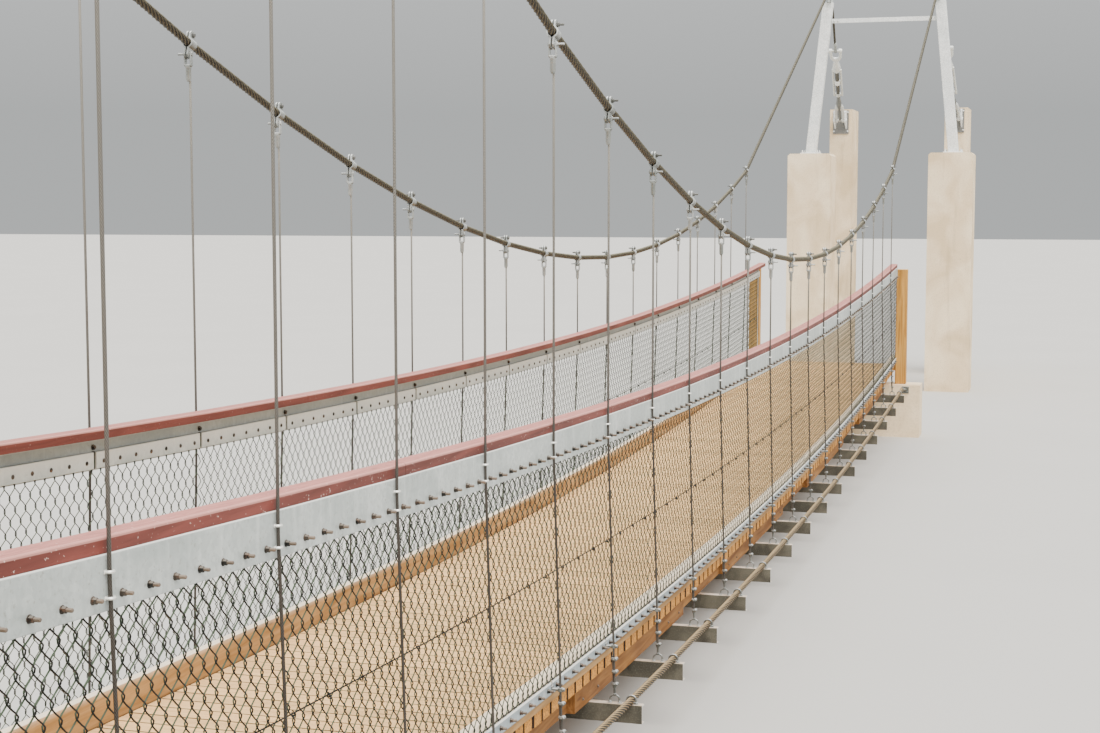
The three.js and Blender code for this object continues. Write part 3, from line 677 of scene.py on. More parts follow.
# Points on one leg of a wire, as shares of its height, of the wire's reach and of its depth
FINE_LEG = ((0.0, 1.0, 0.0), (0.2, 0.81, 0.8), (0.4, 0.31, 1.0), (0.6, -0.31, 1.0), (0.8, -0.81, 0.8))
PLAIN_LEG = ((0.0, 1.0, 0.0), (0.3, 0.62, 1.0), (0.7, -0.62, 1.0))
COARSE_LEG = ((0.09, 0.96, 1.0), (0.91, -0.96, 1.0))

# Lengths of mesh: its name, where it ends, its legs and the number of sides of its wires
MESH_LENGTHS = {
    "right": (("near", -6.0, FINE_LEG, 4), ("middle", 0.0, PLAIN_LEG, 3),
              ("far", RAIL_END, COARSE_LEG, 3)),
    "left": (("near", -8.0, PLAIN_LEG, 3), ("middle", 0.0, COARSE_LEG, 3),
             ("far", RAIL_END, COARSE_LEG, 3)),
}
KNOT_PITCH = 0.28
END_BAR_INSET = 0.13
END_BAR_FACES = (0.906, 0.910)


def chain_link(name, side, x0, x1, leg_points, wire_sides):
    """Each wire is a flat spiral: its legs lean to and fro, on the outer and inner face by turns."""
    count = round((x1 - x0) / WIRE_PITCH)
    pitch = (x1 - x0) / count
    legs = int((MESH_FOOT - MESH_TOP) / LEG_HEIGHT)
    shares, reaches, faces = np.array(leg_points).T
    leg = np.repeat(np.arange(legs), len(shares))
    lean = np.where(leg % 2 == 0, 1, -1)
    reach = np.tile(reaches, legs) * lean
    face = -np.tile(faces, legs) * lean
    depth = MESH_TOP + (leg + np.tile(shares, legs)) * LEG_HEIGHT
    below_plate = (depth - PLATE_DEPTH) / LEG_HEIGHT + 0.4
    free_outward = np.clip(np.minimum(below_plate, (STRIP_TOP - depth) / LEG_HEIGHT + 0.2), 0.08, 1)
    free_inward = np.clip(np.minimum(below_plate, (KICK_TOP - depth) / LEG_HEIGHT + 0.3), 0.02, 1)
    spokes = 2 * np.pi * (np.arange(wire_sides) + 0.5) / wire_sides
    shape = Shape()
    for wire in range(count):
        turn = -1 if wire % 2 else 1
        x = x0 + (wire + 0.5) * pitch + turn * reach * WIRE_REACH
        x = np.clip(x, x0 + WIRE_RADIUS, x1 - WIRE_RADIUS)
        out = turn * face
        y = side * (MESH_MIDDLE + out * WIRE_DEPTH * np.where(out > 0, free_outward, free_inward))
        path = np.stack([x, y, rail_z(x) - depth], axis=-1)
        tangent = np.gradient(path, axis=0)
        tangent /= np.linalg.norm(tangent, axis=1)[:, None]
        across = np.cross(tangent, (1, 0, 0))
        across /= np.linalg.norm(across, axis=1)[:, None]
        up = np.cross(across, tangent)
        rings = path[:, None] + WIRE_RADIUS * (np.cos(spokes)[:, None] * across[:, None]
                                               + np.sin(spokes)[:, None] * up[:, None])
        # Legs on the outer face get dark painted shade, legs on the inner face a pale painted highlight
        shape.rings(rings, None, out[:, None])
    shape.piece(name, MESH_WIRE, sharp=None)


def make_mesh(name, side):
    """The chain-link, its two tension wires with their knots, and a flat bar at each end."""
    x0 = RAIL_START
    for part, x1, leg_points, wire_sides in MESH_LENGTHS[name]:
        chain_link(f"{name}_chain_link_{part}", side, x0, x1, leg_points, wire_sides)
        x0 = x1
    wires = Shape()
    # Almost black tension wires and knots; above the strip this dark line also stands in for painted shade
    wires.wear = 0.9
    y = side * MESH_MIDDLE
    for depth, radius in ((TENSION_WIRE_DEPTH, 0.0027), (STRIP_TOP - 0.006, 0.0022)):
        wires.tube([(x, y, rail_z(x) - depth) for x in stations(RAIL_START, RAIL_END)], radius, 6)
    for x in np.arange(RAIL_START + 0.1, RAIL_END - 0.05, KNOT_PITCH):
        z = rail_z(x) - TENSION_WIRE_DEPTH
        knot = [(x + 0.009 * math.sin(a), y + 0.0060 * math.cos(a), z + 0.0065 * math.cos(a) - 0.0008 * a)
                for a in np.linspace(0, 4 * math.pi, 17)]
        wires.tube(knot, 0.0018, 5)
    wires.piece(f"{name}_tension_wires", MESH_WIRE, f"{name}_mesh_panel", sharp=None)
    bars = Shape()
    for x in (RAIL_START + END_BAR_INSET, RAIL_END - END_BAR_INSET):
        z = rail_z(x)
        bars.slab(x, 0.015, [side * face for face in END_BAR_FACES], (z - MESH_FOOT, z - 0.02))
    bars.piece(f"{name}_mesh_end_bars", FITTING_STEEL)


# Kickboards, deck and stringers

BLEACHED_DEPTH = 0.042
KICK_LENGTH = 3.6
KICK_SEAM = -11.4


def make_kickboard(name, side):
    """Bleached on top and down the upper part of the outer face, darker at the foot."""
    foot, top, edge = DECK_TOP - CLEARANCE, KICK_TOP, 0.003
    section = [(KICK_INSIDE, foot, 0.9), (KICK_INSIDE, foot - 0.008, 0.25), (KICK_INSIDE, foot - 0.03, 0),
               (KICK_INSIDE, top + 0.03, 0), (KICK_INSIDE, top + edge, -0.4), (KICK_INSIDE + edge, top, -1),
               (KICK_OUTSIDE - edge, top, -1), (KICK_OUTSIDE, top + edge, -1),
               (KICK_OUTSIDE, top + BLEACHED_DEPTH, -0.9), (KICK_OUTSIDE, top + BLEACHED_DEPTH + 0.02, 0),
               (KICK_OUTSIDE, foot, 0.1)]
    shape = rail_run(section, side, KICK_SEAM, KICK_LENGTH, 0.004, (0.3, 0.7))
    shape.piece(f"{name}_kickboard_timber", KICK_TIMBER, f"{name}_kickboard", sharp=FLAT)


BOARD_PITCH = 1 / 7
BOARD_GAP = 0.010
BOARD_EDGE = 0.004
GROOVES = 11
GROOVE_DEPTH = 0.0022
MIDDLE_GROOVE = 5
END_ROUND = 0.014
END_INSET = 0.0115
END_RIM = 0.0006


def board_section(x0, x1):
    """The section of a grooved board, as (x, depth below its top, wear)."""
    thickness = STRINGER_TOP - DECK_TOP
    pitch = (x1 - x0 - 2 * BOARD_EDGE) / GROOVES
    # The third values are painted shade: darkest on the gap walls, light in the grooves, stronger in the
    # middle groove
    rise = [(x0 + 0.006, thickness, 0.1), (x0, thickness, 1), (x0, 0.012, 1), (x0, BOARD_EDGE * 0.6, 0.7)]
    ribs = []
    for n in range(GROOVES):
        a = x0 + BOARD_EDGE + n * pitch
        darkening = 0.75 if n == MIDDLE_GROOVE else 0.12
        ribs += [(a + 0.12 * pitch, 0, 0), (a + 0.60 * pitch, 0, 0),
                 (a + 0.70 * pitch, GROOVE_DEPTH, darkening), (a + 0.98 * pitch, GROOVE_DEPTH, darkening)]
    fall = [(x1, depth, wear) for _, depth, wear in rise[:0:-1]]
    return [*rise, *ribs[:-2], *fall, (x1 - 0.006, thickness, 0.1)]


def make_deck():
    """Boards in five sections. Each is narrower at its very ends, so that slots show between them."""
    boards = round((DECK_END - DECK_START) / BOARD_PITCH)
    pitch = (DECK_END - DECK_START) / boards
    span = (DECK_END - DECK_START) / 5
    shapes = [Shape() for _ in range(5)]
    for n in range(boards):
        x0 = DECK_START + n * pitch + BOARD_GAP / 2
        x1 = x0 + pitch - BOARD_GAP
        middle = (x0 + x1) / 2
        shape = shapes[min(4, int((middle - DECK_START) / span))]
        shape.tint = chance.uniform(0.2, 0.8)
        half = DECK_HALF_WIDTH - chance.uniform(0, 0.004)
        sink = chance.uniform(0, 0.0012)
        section = board_section(x0, x1)
        if n in (0, boards - 1):
            outer = x0 if n == 0 else x1
            section = [(x, depth, 0 if x == outer else wear) for x, depth, wear in section]
        slim = 1 - 2 * END_INSET / (x1 - x0)
        places = [(-half, slim), (END_RIM - half, slim), (END_ROUND - half, 1)]
        rings = [[(middle + (x - middle) * narrow, y,
                   rail_z(x) - DECK_TOP - depth - (sink if depth < 0.05 else 0)) for x, depth, _ in section]
                 for y, narrow in places + [(-y, narrow) for y, narrow in places[::-1]]]
        # Painted shade: strongest in the narrow end slots, none on the end faces
        darkening = [wear for _, _, wear in section]
        unshaded = [0.0] * len(section)
        end_slot_shade = [1.0 if wear >= 0.7 else wear for wear in darkening]
        shape.rings(rings, None, [unshaded, end_slot_shade, darkening, darkening, end_slot_shade, unshaded])
    for n, shape in enumerate(shapes, 1):
        shape.piece(f"deck_planks_{n}", DECK_TIMBER, f"deck_boards_{n}", sharp=FLAT)


STRINGERS = 11
STRINGER_HALF = 1.3
STRINGER_BOLTS = [(x, depth) for x in (0.85, 1.15) for depth in (0.045, 0.12)]


def make_stringers(name, side):
    """Boards two hangers long in two rows, lapped at their ends and bolted there."""
    shape = Shape()
    bolts = Shape()
    for n in range(STRINGERS):
        middle = FIRST_HANGER + 2 * n
        x0, x1 = max(middle - STRINGER_HALF, DECK_START), min(middle + STRINGER_HALF, DECK_END)
        face = STRINGER_FACES[(n + 1) % 2]
        outline = rounded_outline(face - STRINGER_WIDTH, face, STRINGER_TOP + CLEARANCE,
                                  TRANSOM_TOP - CLEARANCE, 0.002, 1)
        shape.tint = chance.uniform(0.2, 0.9)
        shape.following(x0, x1, with_wear_and_shading(outline, 0), side)
        if n == STRINGERS - 1:
            continue
        for ahead, depth in STRINGER_BOLTS:
            x = middle + ahead
            place = (x, side * STRINGER_FACES[0], rail_z(x) - STRINGER_TOP - depth)
            bolts.tint = chance.uniform(0.4, 0.6)
            bolts.stud(place, (0, side, 0), 0.0065, 0.005, 0.008, 0.004)
    shape.piece(f"{name}_stringer_boards", EDGE_TIMBER, f"{name}_stringers", sharp=FLAT)
    bolts.piece(f"{name}_stringer_bolts", BOLT_STEEL)


# Lower strips, hangers and what is clipped to them

FORK_FOOT = 0.107
FERRULE_FOOT = 0.184
FERRULE_RADIUS = 0.0145
RAIL_CLIPS = (0.046, 0.115)
STRIP_CLIP = 1.232
GRIPS = (1.300, 1.368, 1.436)
EYE_ROD_TOP = 0.090
BOW_TOP = 0.046
BOW_HALF = 0.026


def hanger_y(x, z):
    """How far out a hanger is at a height: upright above its clip, leaning out below it."""
    clip = rail_z(x) - PLATE_DEPTH / 2
    foot = rail_z(x) - TRANSOM_TOP + 0.052
    lean = min(1.0, max(0.0, (clip - z) / (clip - foot)))
    return HANGER_Y + (HANGER_FOOT_Y - HANGER_Y) * lean


def make_strips(name, side):
    # Paler top edge as a painted highlight, darker foot as painted shade
    section = [(PLATE_INSIDE, STRIP_TOP, -1), (PLATE_FACE - 0.001, STRIP_TOP, -1),
               (PLATE_FACE, STRIP_TOP + 0.001, -1), (PLATE_FACE, STRIP_TOP + 0.007, -1),
               (PLATE_FACE, STRIP_TOP + 0.010, 0), (PLATE_FACE, STRIP_FOOT - 0.004, 0),
               (PLATE_FACE, STRIP_FOOT, 0.6), (PLATE_INSIDE, STRIP_FOOT, 0.6)]
    nodes = (f"near_{name}_hangers_with_strip", f"far_{name}_hangers_with_strip")
    shape = rail_run(section, side, FIRST_HANGER, 1, STRIP_GAP)
    shape.piece(f"{name}_lower_strips", STRIP_STEEL_PAINTED_SHADE, *nodes, sharp=FLAT)
    bolts = Shape()
    for x in bolt_places():
        z = rail_z(x) - (STRIP_TOP + STRIP_FOOT) / 2
        bolts.tint = chance.uniform(0.0, 0.2)
        bolts.stud((x, side * PLATE_FACE, z), (0, side, 0), 0.0095, 0.011, 0.031, 0.0062)
    bolts.piece(f"{name}_strip_bolts", BOLT_STEEL)


def u_bolt(shape, centre, reach, radius, wire, axis, back):
    """A bent rod round a rope: axis runs along the rope, back points to where its ends go."""
    back = unit(back)
    wide = unit(np.cross(axis, back))
    centre = np.asarray(centre, float)
    bend = [centre - back * radius * math.cos(a) + wide * radius * math.sin(a)
            for a in np.radians(np.linspace(-90, 90, 7))]
    ends = [bend[0] + back * reach, bend[-1] + back * reach]
    shape.tube([ends[0], *bend, ends[1]], wire, 6)
    return ends


def rope_grip(shape, x, side, depth):
    """A collar and saddle block with a U-bolt over the hanger, its nuts on the outside."""
    z = rail_z(x) - depth
    y = hanger_y(x, z)
    outward = np.array((0.0, side, 0.0))
    shape.turned((x, side * y, z - 0.008), (x, side * y, z), [(0, 0.0125), (0.016, 0.0125)], 10)
    shape.slab(x, 0.0165, (side * (y + 0.007), side * (y + 0.016)), (z - 0.009, z + 0.009), 0.002)
    for end in u_bolt(shape, (x, side * y, z), 0.020, 0.0115, 0.0042, (0, 0, -1), outward):
        shape.bolt(end - outward * 0.008, outward, 0.0074, 0.006, False)


def hanger_fittings(shape, x, side):
    """Clips on the rail plate and the lower strip, three rope grips, the eye rod and the bow."""
    z = rail_z(x)
    down = np.array((0, 0, -1.0))
    inward = np.array((0, -side, 0))
    face = side * PLATE_FACE
    shape.wear = -0.8
    for depth in RAIL_CLIPS:
        clip = z - depth
        shape.slab(x, 0.017, (face, side * (PLATE_FACE + 0.003)), (clip - 0.006, clip + 0.006))
        u_bolt(shape, (x, side * hanger_y(x, clip), clip), 0.0075, 0.0108, 0.0047, down, inward)
    shape.wear = 0.0
    strip = z - STRIP_CLIP
    y = hanger_y(x, strip)
    shape.slab(x, 0.016, (face, side * (PLATE_FACE + 0.004)), (strip - 0.016, strip + 0.016))
    shape.rod((x, face, strip), (x, side * (y - HANGER_RADIUS), strip), 0.0065)
    shape.turned((x, side * y, strip - 0.009), (x, side * y, strip), [(0, 0.0125), (0.018, 0.0125)], 10)
    shape.bolt((x, side * (y + 0.011), strip), (0, side, 0), 0.0085, 0.008)
    for depth in GRIPS:
        rope_grip(shape, x, side, depth)
    foot = z - TRANSOM_TOP
    top = foot + EYE_ROD_TOP
    eye = (x, side * hanger_y(x, top), top)
    bow = (x, side * HANGER_FOOT_Y, foot + BOW_TOP)
    length = EYE_ROD_TOP - BOW_TOP
    shape.turned(eye, bow, [(-0.008, 0.0100), (0.008, 0.0100), (0.010, 0.0072), (length - 0.004, 0.0072),
                            (length - 0.003, 0.0105), (length + 0.008, 0.0105)], 8)
    arch = [(x, side * HANGER_FOOT_Y + BOW_HALF * math.sin(a), foot + 0.022 + 0.019 * math.cos(a))
            for a in np.radians(np.linspace(-90, 90, 9))]
    low = [(x, side * HANGER_FOOT_Y + sign * BOW_HALF, foot + 0.001) for sign in (-1, 1)]
    shape.tube([low[0], *arch, low[1]], 0.0050, 8)
    for place in low:
        shape.slab(x, 0.013, (place[1] - 0.010, place[1] + 0.010), (foot, foot + 0.004))
        shape.bolt(place, (0, 0, 1), 0.0080, 0.010, False)


def hanger_rope(shape, x, side):
    """A thin rope from its ferrule to its eye rod, with its end turned back beside it."""
    z = rail_z(x)
    clip = z - PLATE_DEPTH / 2
    foot = z - TRANSOM_TOP + EYE_ROD_TOP + 0.006
    heights = (cable_z(x) - FERRULE_FOOT + 0.005, clip + 0.3, clip, z - 0.6, foot)
    shape.tint = chance.uniform(0.3, 0.7)
    line = [(x, side * hanger_y(x, height), height) for height in heights]
    # Paler at the top and darker towards the rail: painted light and painted shade
    shape.tube(line, HANGER_RADIUS, 8, wear=(-0.2, 0.65, 0.9, 0.95, 0.8))
    shape.wear = 0.5
    beside = 0.0115 * 0.6
    tail = [(x + beside, side * (hanger_y(x, height) - beside), height)
            for height in (z - 1.284, z - 1.33, foot + 0.02)]
    shape.tube([*tail, (x, side * (hanger_y(x, foot) - 0.006), foot - 0.004)], HANGER_RADIUS * 0.95, 8)
    shape.wear = 0.0


def make_hangers(name, side):
    ropes = Shape()
    fittings = Shape()
    for x in HANGERS:
        hanger_rope(ropes, x, side)
        hanger_fittings(fittings, x, side)
    ropes.piece(f"{name}_hanger_ropes", HANGER_ROPE)
    fittings.piece(f"{name}_hanger_fittings", GRIP_STEEL)


# Main ropes with their clamps

ROPE_LAY = 0.225
ROPE_STEP = 0.024
SADDLE_SHARE = SADDLE_BEND / (ANCHOR_X - TOWER_X)
BACKSTAY_ROPE_END = 0.42


def span_line(x, end):
    """Height of the straight run from the last clamp of an end to the top of its tower."""
    first = FIRST_HANGER if end < 0 else LAST_HANGER
    part = (x - first) / (end * TOWER_X - first)
    return cable_z(first) + part * (CABLE_TOP_Z - cable_z(first))


def backstay_point(end, side, part):
    """A point of the straight run from a tower to its anchor pin."""
    splay = max(0.0, (part - SADDLE_SHARE) / (1 - SADDLE_SHARE))
    return np.array((end * (TOWER_X + (ANCHOR_X - TOWER_X) * part),
                     side * (SADDLE_Y + (ANCHOR_Y - SADDLE_Y) * splay),
                     CABLE_TOP_Z + (ANCHOR_Z - CABLE_TOP_Z) * part))


def saddle_bend(end, side, part):
    """A point of the rope's bend over a saddle."""
    x = end * (TOWER_X - SADDLE_BEND)
    a = np.array((x, side * SADDLE_Y, span_line(x, end)))
    b = np.array((end * TOWER_X, side * SADDLE_Y, CABLE_TOP_Z))
    c = backstay_point(end, side, SADDLE_SHARE)
    return (1 - part) ** 2 * a + 2 * part * (1 - part) * b + part ** 2 * c


def dense(path, step):
    """Points at even steps along a line of straight runs."""
    path = np.asarray(path, float)
    along = np.concatenate([[0], np.cumsum(np.linalg.norm(np.diff(path, axis=0), axis=1))])
    places = np.linspace(0, along[-1], int(along[-1] / step) + 1)
    return np.stack([np.interp(places, along, path[:, axis]) for axis in range(3)], axis=1)


def make_main_rope(name, side):
    bend = np.linspace(0, 1, 13)
    path = [backstay_point(-1, side, BACKSTAY_ROPE_END)]
    path += [saddle_bend(-1, side, part) for part in bend[::-1]]
    path += [(x, side * HANGER_Y, cable_z(x)) for x in HANGERS]
    path += [saddle_bend(1, side, part) for part in bend]
    path += [backstay_point(1, side, BACKSTAY_ROPE_END)]
    shape = Shape()
    shape.tube(dense(path, ROPE_STEP), ROPE_RADIUS, ROPE_STRANDS * 3, ROPE_STRANDS, ROPE_LAY, 0.25)
    shape.piece(f"{name}_main_rope", MAIN_ROPE, f"{name}_main_cable", sharp=None)


CLAMP_TOP = 0.064
CLAMP_FOOT = 0.074
CLAMP_HALF = 0.026
PIN_DROP = 0.052
FORK_HALF = 0.013
FORK_INSIDE = 0.0125
FORK_OUTSIDE = 0.0195


def cable_clamp(shape, x, side):
    """Two tall plates bent round the rope and bolted above and below it, with the hanger's fork."""
    centre = np.array((x, side * HANGER_Y, cable_z(x)))
    slope = 2 * CABLE_SAG * (x - CABLE_LOW_X)
    along = unit((1, 0, slope))
    up = unit((-slope, 0, 1))
    inner = arc((0, 0), ROPE_RADIUS + 0.0005, 72, -72, 6)
    outer = arc((0, 0), ROPE_RADIUS + 0.0070, -64, 64, 6)
    outline = [(0.004, CLAMP_TOP), (0.004, 0.026), *inner, (0.004, -0.026), (0.004, -CLAMP_FOOT),
               (0.012, -CLAMP_FOOT), (0.012, -0.033), *outer, (0.012, 0.033), (0.012, CLAMP_TOP)]
    for face in (-1, 1):
        rings = []
        for reach, cut in ((-1, 0.014), (-0.7, 0.003), (-0.5, 0), (0.5, 0), (0.7, 0.003), (1, 0.014)):
            ring = []
            for out, height in outline:
                if abs(height) > 0.05:
                    height -= math.copysign(cut, height)
                aside = np.array((0, face * out, 0))
                ring.append(centre + along * reach * CLAMP_HALF + up * height + aside)
            rings.append(ring)
        shape.rings(rings)
    outward = np.array((0, side, 0))
    for height, reach, wear in ((0.045, 0.034, 0.75), (-PIN_DROP, 0.044, 0)):
        place = centre + up * height
        shape.wear = wear
        shape.stud(place + outward * 0.012, outward, 0.0108, 0.010, reach, 0.0062)
        shape.bolt(place - outward * 0.012, -outward, 0.0108, 0.009)
    pin_x, y, pin_z = centre + up * -PIN_DROP
    foot = centre[2] - FORK_FOOT
    for face in (-1, 1):
        arm = (y + face * FORK_INSIDE, y + face * FORK_OUTSIDE)
        shape.slab(pin_x, FORK_HALF, arm, (foot, pin_z + 0.015), 0.004)
    shape.slab(pin_x, FORK_HALF, (y - FORK_OUTSIDE, y + FORK_OUTSIDE), (foot - 0.004, foot + 0.008), 0.004)
    top = np.array((pin_x, y, foot))
    length = FERRULE_FOOT - FORK_FOOT
    rim, body = FERRULE_RADIUS + 0.0015, FERRULE_RADIUS - 0.001
    profile = [(0, rim), (0.008, rim), (0.012, body), (length - 0.012, body), (length, 0.008)]
    shape.turned(top, top - (0, 0, 1), profile, 12)


def make_clamps(name, side):
    shape = Shape()
    for x in HANGERS:
        cable_clamp(shape, x, side)
    shape.piece(f"{name}_cable_clamps", FITTING_STEEL)


# Cross members and lower ropes

LOWER_ROPE_LAY = 0.265
LOWER_ROPE_STEP = 0.021
ROPE_TAIL = 0.35
CHANNEL_HALF = 0.025
CHANNEL_ROUND = 0.004
U_BOLT_HALF = 0.0258
LINK_PLATE_HALF = 0.045
LINK_BOLTS = [(y, z) for y in (-0.03, 0.03) for z in (0.028, -0.028)]


def lower_rope_z(x):
    return rail_z(x) - TRANSOM_TOP + LOWER_ROPE_RADIUS - 0.001


def make_transoms():
    """Channels across the bridge, open to the far side, with a U-bolt over the rope at each end."""
    shape = Shape()
    fittings = Shape()
    half, r, wall, depth = CHANNEL_HALF, CHANNEL_ROUND, STEEL, TRANSOM_DEPTH
    outline = [*arc((-half + r, r), r, 180, 270, 2), (half, 0), (half, wall),
               *arc((wall + r - half, wall + r), r, 180, 270, 2)[::-1],
               *arc((wall + r - half, depth - wall - r), r, 90, 180, 2)[::-1], (half, depth - wall),
               (half, depth), *arc((-half + r, depth - r), r, 90, 180, 2)]
    for x in HANGERS:
        shape.tint = chance.uniform(0.2, 0.8)
        shape.rings([[(x + along, y, rail_z(x + along) - TRANSOM_TOP - drop) for along, drop in outline]
                     for y in (-TRANSOM_END_Y, TRANSOM_END_Y)])
        for side in SIDES.values():
            fittings.tint = chance.uniform(0.5, 1)
            y = side * LOWER_ROPE_Y
            u_bolt(fittings, (x, y, lower_rope_z(x)), 0.038, U_BOLT_HALF, 0.0055, (1, 0, 0), (0, 0, -1))
            for sign in (-1, 1):
                place = (x, y + sign * U_BOLT_HALF, rail_z(x) - TRANSOM_TOP)
                fittings.bolt(place, (0, 0, 1), 0.0095, 0.008)
    nodes = [f"{part}_cross_members_with_ropes" for part in ("near", "middle", "far")]
    shape.piece("cross_member_channels", CHANNEL_STEEL, *nodes, sharp=FLAT)
    fittings.piece("lower_rope_u_bolts", GRIP_STEEL)


def make_lower_rope(name, side):
    """The rope, and at each end of it a socket and rod to a plate on the bank seat."""
    shape = Shape()
    places = stations(FIRST_HANGER - ROPE_TAIL, LAST_HANGER + ROPE_TAIL)
    path = [(x, side * LOWER_ROPE_Y, lower_rope_z(x)) for x in places]
    shape.tube(dense(path, LOWER_ROPE_STEP), LOWER_ROPE_RADIUS, ROPE_STRANDS * 3, ROPE_STRANDS,
               LOWER_ROPE_LAY, 0.34)
    shape.piece(f"{name}_lower_rope", LOWER_ROPE, sharp=None)
    links = Shape()
    for end_name, end in ENDS.items():
        lo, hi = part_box(f"{end_name}_bank_seat")
        face = hi.x if end < 0 else lo.x
        tip = np.array(path[0] if end < 0 else path[-1])
        low = np.array((face - end * 0.012, side * LOWER_ROPE_Y, hi.z - 0.06))
        length = np.linalg.norm(low - tip) + 0.03
        profile = [(0, 0.020), (0.055, 0.020), (0.075, 0.013), (length, 0.013)]
        links.turned(tip - unit(low - tip) * 0.03, low, profile, 12)
        half = LINK_PLATE_HALF
        links.box(low + (0, -half, -half), low + (end * 0.0117, half, half), 0.002)
        for dy, dz in LINK_BOLTS:
            links.bolt(low + (0, dy, dz), (-end, 0, 0), 0.008, 0.007)
    links.piece(f"{name}_lower_rope_links", GRIP_STEEL)


# Towers

BASE_PLATE = 0.16
BASE_THICKNESS = 0.020
BASE_BOLT = 0.125
CROSSBAR_HALF = 0.035
CROSSBAR_STEEL = 0.012
CROSSBAR_BOLTS = (0.053, 0.110)
CROSSBAR_LUG = (0.02, -0.150)


def leg_y(z):
    return LEG_FOOT_Y - (LEG_FOOT_Y - SADDLE_Y) / (CABLE_TOP_Z - PIER_TOP) * (z - PIER_TOP)


def leg_ring(x, y, z, out, radius):
    """The outline of a tower leg at a height, grown outwards by a little."""
    outline = rounded_outline(x - LEG_DEPTH / 2 - out, x + LEG_DEPTH / 2 + out,
                              y - LEG_WIDTH / 2 - out, y + LEG_WIDTH / 2 + out, radius, 3)
    return [(a, b, z) for a, b in outline]


def make_leg(name, end, side):
    """The leaning leg, its base plate with weld and bolts, and the lug for the crossbar."""
    x = end * TOWER_X
    y = side * LEG_FOOT_Y
    shape = Shape()
    foot = PIER_TOP + CLEARANCE
    weld = foot + BASE_THICKNESS
    shape.rings([leg_ring(x, side * leg_y(z), z, out, 0.010)
                 for z, out in ((weld, 0), (LEG_TOP - 0.003, 0), (LEG_TOP, -0.003))])
    shape.box((x - BASE_PLATE, y - BASE_PLATE, foot), (x + BASE_PLATE, y + BASE_PLATE, weld), 0.002)
    shape.rings([leg_ring(x, y, z, out, 0.012) for z, out in ((weld, 0.009), (weld + 0.009, 0.0))])
    for dx in (-BASE_BOLT, BASE_BOLT):
        for dy in (-BASE_BOLT, BASE_BOLT):
            shape.stud((x + dx, y + dy, weld), (0, 0, 1), 0.018, 0.016, 0.045, 0.010)
    inner = side * (leg_y(CROSSBAR_Z) - LEG_WIDTH / 2)
    shape.slab(x, CROSSBAR_STEEL / 2, [inner + side * reach for reach in CROSSBAR_LUG],
               (CROSSBAR_Z - CROSSBAR_HALF, CROSSBAR_Z + CROSSBAR_HALF))
    shape.piece(f"{name}_leg_steel", TOWER_STEEL, f"{name}_tower_leg", sharp=FLAT)


def make_crossbar(end_name, end):
    shape = Shape()
    reach = leg_y(CROSSBAR_Z + CROSSBAR_HALF) - LEG_WIDTH / 2 - CLEARANCE
    back = end * (TOWER_X - CROSSBAR_STEEL / 2 - CLEARANCE)
    front = back - end * CROSSBAR_STEEL
    low, high = CROSSBAR_Z - CROSSBAR_HALF, CROSSBAR_Z + CROSSBAR_HALF
    shape.box((back, -reach, low), (front, reach, high), 0.0015)
    for side in SIDES.values():
        for from_leg in CROSSBAR_BOLTS:
            y = side * (leg_y(CROSSBAR_Z) - LEG_WIDTH / 2 - from_leg)
            shape.stud((front, y, CROSSBAR_Z), (-end, 0, 0), 0.015, 0.012, 0.024, 0.008)
            shape.bolt((end * (TOWER_X + 0.006), y, CROSSBAR_Z), (end, 0, 0), 0.015, 0.010)
    shape.piece(f"{end_name}_crossbar_steel", TOWER_STEEL, f"{end_name}_tower_crossbar")


SADDLE_OUTSIDE = 0.034
SADDLE_BLOCK_HALF = 0.030

# Rings of a saddle's side plate: distance from its middle, and how far its top is cut down
SADDLE_PLATE = ((0.022, 0.0), (0.0325, 0.0), (SADDLE_OUTSIDE, 0.0015))

# The bolts of a saddle, as places in the line of its top
SADDLE_BOLTS = (3, 8)


def make_saddle(name, end, side):
    """A block curved under the rope between two side plates, with two bolts through them."""
    shape = Shape()
    y = side * SADDLE_Y
    under, over = [], []
    for part in np.linspace(0.25, 0.75, 13):
        place = saddle_bend(end, side, part)
        ahead = unit(saddle_bend(end, side, part + 0.01) - place)
        under.append((place[0], place[2] - (CABLE_RADIUS + 0.0006) / abs(ahead[0])))
        over.append((place[0], place[2] + CABLE_RADIUS))
    foot = [(under[0][0], LEG_TOP + CLEARANCE), (under[-1][0], LEG_TOP + CLEARANCE)]
    shape.across([foot[0], *under, foot[1]], y - SADDLE_BLOCK_HALF, y + SADDLE_BLOCK_HALF)
    for face in (-1, 1):
        rings = []
        for out, inset in SADDLE_PLATE:
            outline = [foot[0], *[(a, b - inset) for a, b in over], foot[1]]
            rings.append([(a, y + face * out, b) for a, b in outline])
        shape.rings(rings)
    for n in SADDLE_BOLTS:
        x, z = over[n][0], over[n][1] - 0.010
        front, back = (x, y + SADDLE_OUTSIDE, z), (x, y - SADDLE_OUTSIDE, z)
        shape.stud(front, (0, 1, 0), 0.010, 0.008, 0.018, 0.006)
        shape.bolt(back, (0, -1, 0), 0.010, 0.008)
        shape.rod(back, front, 0.006)
    shape.piece(f"{name}_saddle_steel", GALVANISED, f"{name}_saddle")


# Backstay fittings and anchor lugs

LUG_INNER = 0.085
LUG_OUTER = 0.109
LUG_PLATE_HALF = 0.140
LUG_PLATE_STEEL = 0.024
LUG_ABOVE = 0.180
LUG_BELOW = 0.24
LUG_NOSE = 0.06
LUG_BOLT_Y = 0.124
LUG_BOLT_RISES = (LUG_ABOVE - 0.035, -0.195)
SHACKLE_SHARE = 0.455
BOW_SHARE = 0.490
ARM_Y = 0.080
FRAME_Y = 0.068
FORK_ARM_Y = 0.058

